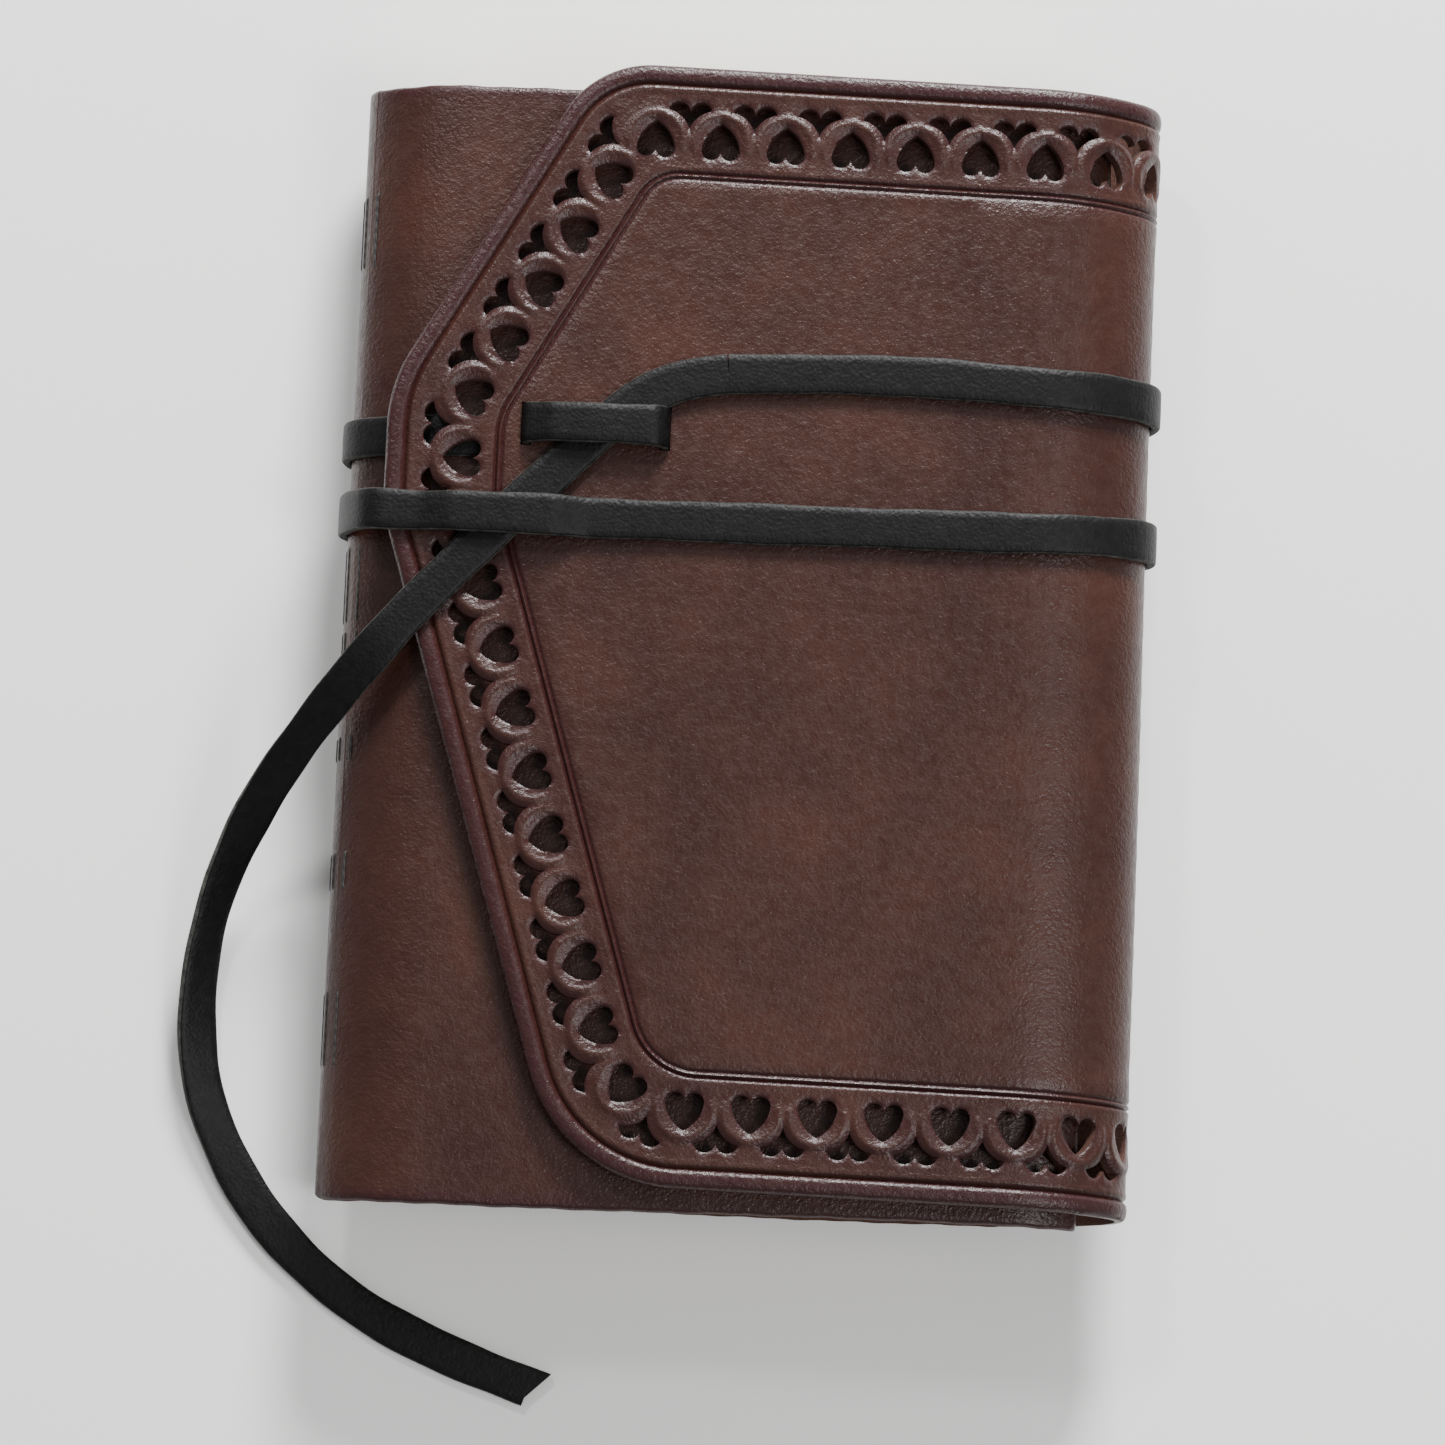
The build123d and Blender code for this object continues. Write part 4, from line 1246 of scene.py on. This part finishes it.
    def thread(self, signature: int) -> None:
        """Makes the thread that sews one signature to the spine.

        Args:
            signature: the signature's number.
        """
        fold_x, fold_z, _ = self.heights(signature)
        nose = self.frame.spine_nose.path(-0.08, 0.3)
        outside = float(np.interp(fold_z, nose[:, 1], nose[:, 0])) - 0.02
        corners = []
        for top, bottom in self.stitches:
            corners += [(fold_x + 0.1, top), (outside, top), (outside, bottom), (fold_x + 0.1, bottom)]
        line = rounded(corners, [0.5] * (len(corners) - 2), 20.0)
        centres = np.stack([line[:, 0], line[:, 1], np.full(len(line), fold_z)], axis=1)
        centres = resample(centres, 0.45)
        turn = np.linspace(0, 2 * math.pi, 9)[:-1]
        profile = self.thread_radius * np.stack([np.cos(turn), np.sin(turn)], axis=1)
        ups = np.tile([0.0, 0.0, 1.0], (len(centres), 1))
        vertices, faces, _ = sweep(centres, ups, profile)
        piece = make_piece(f"thread_{signature}", vertices, faces, [self.finishes.thread], sharp_deg=80.0)
        fix_normals(piece)
        self.follow(piece, signature)
        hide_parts(f"signature_{signature}_thread")

    def build(self) -> None:
        """Makes every sheet and thread."""
        for signature in range(1, self.count + 1):
            for number in range(1, self.sheets + 1):
                self.sheet(signature, number)
            self.thread(signature)


# ------------------------------------------------------------------ the lace
TAIL_ROUTE = (
    (-4.0, 40.9, 28.65), (-9.9, 40.1, 28.65), (-15.6, 37.8, 28.65), (-20.8, 34.2, 28.65), (-25.3, 29.7, 28.65),
    (-31.3, 23.6, 28.65), (-38.4, 16.4, 28.65), (-45.2, 9.0, 28.65), (-51.9, 1.9, 28.65), (-57.5, -4.9, 28.4),
    (-62.9, -11.3, 25.6), (-68.6, -18.3, 20.6), (-74.0, -25.6, 15.2), (-78.5, -33.6, 10.2), (-82.1, -42.4, 6.4),
    (-84.1, -52.4, 4.3), (-84.5, -63.0, 3.0), (-83.0, -73.4, 2.0), (-79.0, -82.6, 1.2), (-74.0, -90.7, 0.8),
    (-67.8, -97.6, 0.75), (-61.2, -103.2, 0.75), (-54.0, -107.9, 0.75), (-46.2, -111.6, 0.75),
    (-37.6, -115.1, 0.75), (-28.1, -118.2, 0.75),
)


def spline_points(name: str, route: Sequence[tuple[float, float, float]]) -> np.ndarray:
    """Points of the NURBS line that a route's points control.

    Args:
        name: a name for the curve while it is read.
        route: the control points.

    Returns:
        One row for each point of the line.
    """
    curve = bpy.data.curves.new(name, "CURVE")
    curve.dimensions, curve.resolution_u = "3D", 24
    spline = curve.splines.new("NURBS")
    spline.points.add(len(route) - 1)
    for point, place in zip(spline.points, route):
        point.co = (*place, 1.0)
    spline.order_u, spline.use_endpoint_u = 3, True
    holder = bpy.data.objects.new(name, curve)
    mesh = bpy.data.meshes.new_from_object(holder)
    rows = np.array([vertex.co[:] for vertex in mesh.vertices])
    bpy.data.objects.remove(holder)
    bpy.data.curves.remove(curve)
    bpy.data.meshes.remove(mesh)
    return rows


@dataclass
class Lace:
    """One flat leather lace: keeper on the flap, loops round the album and the free tail."""

    frame: Frame
    finishes: Finishes
    width: float = 6.35
    thick: float = 1.5
    gap: float = 0.1
    round_edge: float = 0.34
    slit_x: tuple[float, float] = SLITS_X
    keeper_y: float = SLITS_Y
    free_length: float = 0.2333

    def profile(self) -> tuple[np.ndarray, list[int]]:
        """Section of the lace, and the material of each of its edges.

        Returns:
            Rows (across, up) and the side of each edge.
        """
        w, t, r = self.width / 2, self.thick / 2, self.round_edge
        top = [(x, t + 0.05 * math.cos(math.pi * x / (2 * w))) for x in np.linspace(-w + r, w - r, 7)]
        right = [(w - 0.10, t - 0.16), (w, t - r), (w, -t + r), (w - 0.10, -t + 0.16)]
        bottom = [(x, -t) for x in (w - r, 0.0, -w + r)]
        left = [(-w + 0.10, -t + 0.16), (-w, -t + r), (-w, t - r), (-w + 0.10, t - 0.16)]
        rows = top + right + bottom + left
        first, second = len(top), len(top) + len(bottom) + 4
        cut = {*range(first, first + 3), *range(second, second + 3)}
        return np.array(rows), [Side.RAW if k in cut else Side.GRAIN for k in range(len(rows))]

    def ribbon(self, name: str, centres: np.ndarray, ups: np.ndarray, slant: float = 0.0) -> bpy.types.Object:
        """Makes a length of lace.

        Args:
            name: the piece's name.
            centres: points of its middle line.
            ups: which way its grain side faces at each.
            slant: how far its last end is cut aslant.

        Returns:
            The piece.
        """
        profile, kinds = self.profile()
        vertices, faces, origin = sweep(centres, ups, profile, slant)
        along = np.concatenate([[0.0], np.cumsum(np.linalg.norm(np.diff(centres, axis=0), axis=1))])
        waver = 0.09 * np.sin(along / 5.3) + 0.05 * np.sin(along / 1.9 + 1)
        waver *= smooth(along, 0.0, 8.0) * smooth(along[-1] - along, 0.0, 8.0)
        rings = vertices.reshape(len(centres), len(profile), 3)
        side = normalised(rings[:, 8] - rings[:, -2])
        rings += (profile[None, :, :1] / self.width) * waver[:, None, None] * 2 * side[:, None]
        indices = [Side.RAW if j < 0 else kinds[j] for j in origin]
        piece = make_piece(name, rings.reshape(-1, 3), faces, [self.finishes.lace, self.finishes.lace_cut], indices,
                           sharp_deg=65.0)
        fix_normals(piece)
        return piece

    def levels(self) -> tuple[float, float, float]:
        """Heights of the lace's middle below the flap, on the flap and over another lace."""
        half = self.thick / 2
        over = self.frame.flap_top + self.gap + half
        return self.frame.front_top + self.gap + half, over, over + self.thick + self.gap

    def section_line(self, corners: Sequence[Point], radii: Sequence[float]) -> np.ndarray:
        """Rows (x, z, normal x, normal z) of a flat run seen from the side, running to -X.

        Args:
            corners: (x, z) of its corners.
            radii: radii of the inner corners.

        Returns:
            One row for each point.
        """
        line = rounded(corners, radii, 8.0)
        tangent = normalised(np.gradient(line, axis=0))
        sign = 1.0 if line[-1, 0] > line[0, 0] else -1.0
        return np.concatenate([line, np.stack([-tangent[:, 1], tangent[:, 0]], axis=1) * sign], axis=1)

    def loops(self) -> None:
        """Makes the lace that goes twice round the closed album, from the left slit to the free tail."""
        f, half = self.frame, self.thick / 2
        under, over, high = self.levels()
        grow = self.gap + half
        inner_spine = f.spine_nose.path(grow, 0.7)[::-1]
        inner_fore = f.fore_nose.path(grow, 0.7)
        outer_spine = Nose(
            -1, f.spine_x, f.spine[0][0] - self.gap, self.thick, f.flap_top + self.gap,
            high_angle=math.radians(60.0), high_x=-57.0,
        ).path(half, 0.7, (f.back_z + f.front_top) / 2)
        outer_fore = Nose(1, f.fore_x, f.turn[1][0] + self.gap, self.thick, f.flap_top + self.gap).path(
            half, 0.7, (f.back_z + f.flap_top) / 2
        )
        hump = self.section_line(
            [(f.fore_x, over), (-25.5, over), (-30.5, high), (-46.5, high), (-51.5, over), (-57.0, over)], [4.0] * 4
        )
        parts: list[tuple[np.ndarray, Sequence[tuple[float, float]]]] = [
            (np.array([[-38.5, under, 0, 1], [f.spine_x, under, 0, 1]]), ((0, 30.2), (1, 29.9))),
            (inner_spine, ((0, 29.9), (0.5, 30.0), (1, 29.6))),
            (np.array([[f.spine_x, f.back_z - grow, 0, -1], [f.fore_x, f.back_z - grow, 0, -1]]), ((0, 29.6), (1, 19.2))),
            (inner_fore, ((0, 19.2), (0.5, 18.6), (1, 17.4))),
            (hump, ((0, 17.4), (0.3, 17.0), (0.7, 17.0), (1, 17.1))),
            (outer_spine[::-1], ((0, 17.1), (0.5, 18.1), (1, 19.2))),
            (np.array([[f.spine_x, half, 0, -1], [f.fore_x, half, 0, -1]]), ((0, 19.2), (1, 39.4))),
            (outer_fore, ((0, 39.4), (0.45, 40.4), (1, 40.8))),
            (np.array([[f.fore_x, over, 0, 1], [-4.0, over, 0, 1]]), ((0, 40.8), (0.25, 41.6), (0.6, 41.7), (1, 40.9))),
        ]
        rows = []
        for path, places in parts:
            path = path if len(path) > 2 else np.linspace(path[0], path[1], 60)
            lengths = np.linalg.norm(np.diff(path[:, :2], axis=0), axis=1)
            at = np.concatenate([[0.0], np.cumsum(lengths)])
            y = np.interp(at / at[-1], [p[0] for p in places], [p[1] for p in places])
            piece = np.stack([path[:, 0], y, path[:, 1], path[:, 2], path[:, 3]], axis=1)
            rows.append(piece if not rows else piece[1:])
        line = resample(np.concatenate(rows), 0.8)
        y = smoothed(line[:, 1:2], 12)[:, 0]
        y[:3], y[-3:] = line[:3, 1], line[-3:, 1]
        centres = np.stack([line[:, 0], y, line[:, 2]], axis=1)
        ups = np.stack([line[:, 3], 0 * y, line[:, 4]], axis=1)
        piece = self.ribbon("lace_loops", centres, ups)
        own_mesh(piece)
        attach(piece, "back")
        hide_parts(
            "lace_spine_turn_upper", "lace_back_run_inner", "lace_fore_turn_lower", "lace_front_run_lower",
            "lace_spine_turn_lower", "lace_back_run_outer", "lace_fore_turn_upper", "lace_front_run_upper",
        )

    def keeper(self) -> None:
        """Makes the short bridge of lace through the two slits, that the free tail runs under."""
        under, over, high = self.levels()
        left, right = self.slit_x
        corners = [(right + 8.0, under), (right, under), (right, over), (right - 1.5, high + 0.1),
                   ((right + left) / 2, high + 0.45), (left + 4.3, high + 0.1), (left, over), (left, under),
                   (left - 3.0, under)]
        line = self.section_line(corners, [0.9, 0.7, 1.2, 30.0, 2.5, 0.9, 0.9])
        rows = np.stack([line[:, 0], 0 * line[:, 0], line[:, 1], line[:, 2], line[:, 3]], axis=1)
        rows = resample(rows, 0.5)
        centres = np.stack([rows[:, 0], np.full(len(rows), self.keeper_y), rows[:, 2]], axis=1)
        ups = np.stack([rows[:, 3], 0 * rows[:, 0], rows[:, 4]], axis=1)
        piece = self.ribbon("lace_keeper_strap", centres, ups)
        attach(piece, "flap")
        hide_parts("lace_keeper")

    def tail(self) -> None:
        """Makes the free end, that leaves under the keeper and falls to the table."""
        centres = resample(spline_points("free_end_route", TAIL_ROUTE), 1.0)
        along = normalised(np.gradient(centres, axis=0))
        flat_along = normalised(along * (1, 1, 0))
        side = np.stack([flat_along[:, 1], -flat_along[:, 0], 0 * flat_along[:, 0]], axis=1)
        up = normalised(np.cross(side, along))
        at = np.linspace(0, 1, len(centres))
        roll = np.radians(42.0) * np.exp(-(((at - 0.56) / 0.13) ** 2))
        up = up * np.cos(roll)[:, None] - side * np.sin(roll)[:, None]
        centres[:, 2] = np.maximum(centres[:, 2], self.thick / 2 + 0.5 * self.width * np.abs(np.sin(roll)) * 0.97)
        piece = self.ribbon("lace_free_end", centres, up, slant=-0.55)
        length = float(np.linalg.norm(np.diff(centres, axis=0), axis=1).sum())
        log.info("free lace: %.1f mm along its centre", length)
        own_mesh(piece)
        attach(piece, "back")
        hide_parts("lace_tail")

    def build(self) -> None:
        """Makes the whole lace."""
        self.keeper()
        self.loops()
        self.tail()


# ------------------------------------------------------------------ stage, light and camera
@dataclass(frozen=True)
class SoftLight:
    """One area light that faces a point."""

    name: str
    place: tuple[float, float, float]
    size: float
    watts: float

    def build(self, target: Vector) -> None:
        """Adds the light.

        Args:
            target: the point that it faces.
        """
        data = bpy.data.lights.new(self.name, "AREA")
        data.shape, data.size, data.energy = "DISK", self.size, self.watts
        light = bpy.data.objects.new(self.name, data)
        light.location = Vector(self.place)
        light.rotation_euler = (target - light.location).to_track_quat("-Z", "Y").to_euler()
        bpy.context.scene.collection.objects.link(light)


@dataclass(frozen=True)
class Studio:
    """Pale table, soft light from the right and the upper left, and the camera above the album."""

    target: tuple[float, float, float] = (-0.0027, -0.0143, 0.027)
    distance: float = 1.0
    elevation: float = 81.5
    turn_deg: float = 2.4
    seen_width: float = 0.2262
    sensor: float = 36.0
    lights: tuple[SoftLight, ...] = (
        SoftLight("key_head_side", (0.16, 0.98, 0.55), 0.34, 32.0),
        SoftLight("window_upper_left", (-0.34, 0.68, 0.80), 0.14, 3.2),
        SoftLight("fill_right", (0.55, -0.30, 1.00), 0.40, 6.0),
    )

    def build(self) -> None:
        """Adds the stage, the lights and the camera."""
        floor_material = bpy.data.materials.new("matt_white_card")
        floor_material.use_nodes = True
        shader = floor_material.node_tree.nodes["Principled BSDF"]
        shader.inputs["Base Color"].default_value = linear("#f6f6f5")
        shader.inputs["Roughness"].default_value = 0.9
        mesh = bpy.data.meshes.new("table_top")
        mesh.from_pydata([(-3, -3, -0.0002), (3, -3, -0.0002), (3, 3, -0.0002), (-3, 3, -0.0002)], [], [(0, 1, 2, 3)])
        mesh.materials.append(floor_material)
        floor = bpy.data.objects.new("table_top", mesh)
        bpy.context.scene.collection.objects.link(floor)
        world = bpy.data.worlds.new("soft_room")
        world.use_nodes = True
        background = world.node_tree.nodes["Background"]
        background.inputs["Color"].default_value = linear("#ffffff")
        background.inputs["Strength"].default_value = 0.40
        bpy.context.scene.world = world
        aim = Vector(self.target)
        for light in self.lights:
            light.build(aim)
        camera = bpy.data.cameras.new("camera")
        camera.sensor_width = self.sensor
        camera.lens = self.sensor * self.distance / self.seen_width
        camera.clip_start, camera.clip_end = 0.05, 20.0
        camera.dof.use_dof = False
        tilt, turn = math.radians(self.elevation), math.radians(self.turn_deg)
        back = Vector((0, -math.cos(tilt), math.sin(tilt)))
        up = Vector((0, math.sin(tilt), math.cos(tilt)))
        right = up.cross(back)
        up = up * math.cos(turn) - right * math.sin(turn)
        right = up.cross(back)
        rig = bpy.data.objects.new("camera", camera)
        rig.matrix_world = Matrix((right, up, back)).transposed().to_4x4()
        rig.location = aim + back * self.distance
        bpy.context.scene.collection.objects.link(rig)
        bpy.context.scene.camera = rig


def main() -> None:
    """Builds the whole scene round the frame."""
    logging.basicConfig(level=logging.INFO, format="%(name)s: %(message)s")
    levels, finishes = Frame(), Finishes()
    WrapFlap(levels, finishes).build()
    Covers(levels, finishes).build()
    Pages(levels, finishes).build()
    Lace(levels, finishes).build()
    Studio().build()


if __name__ == "__main__":
    main()
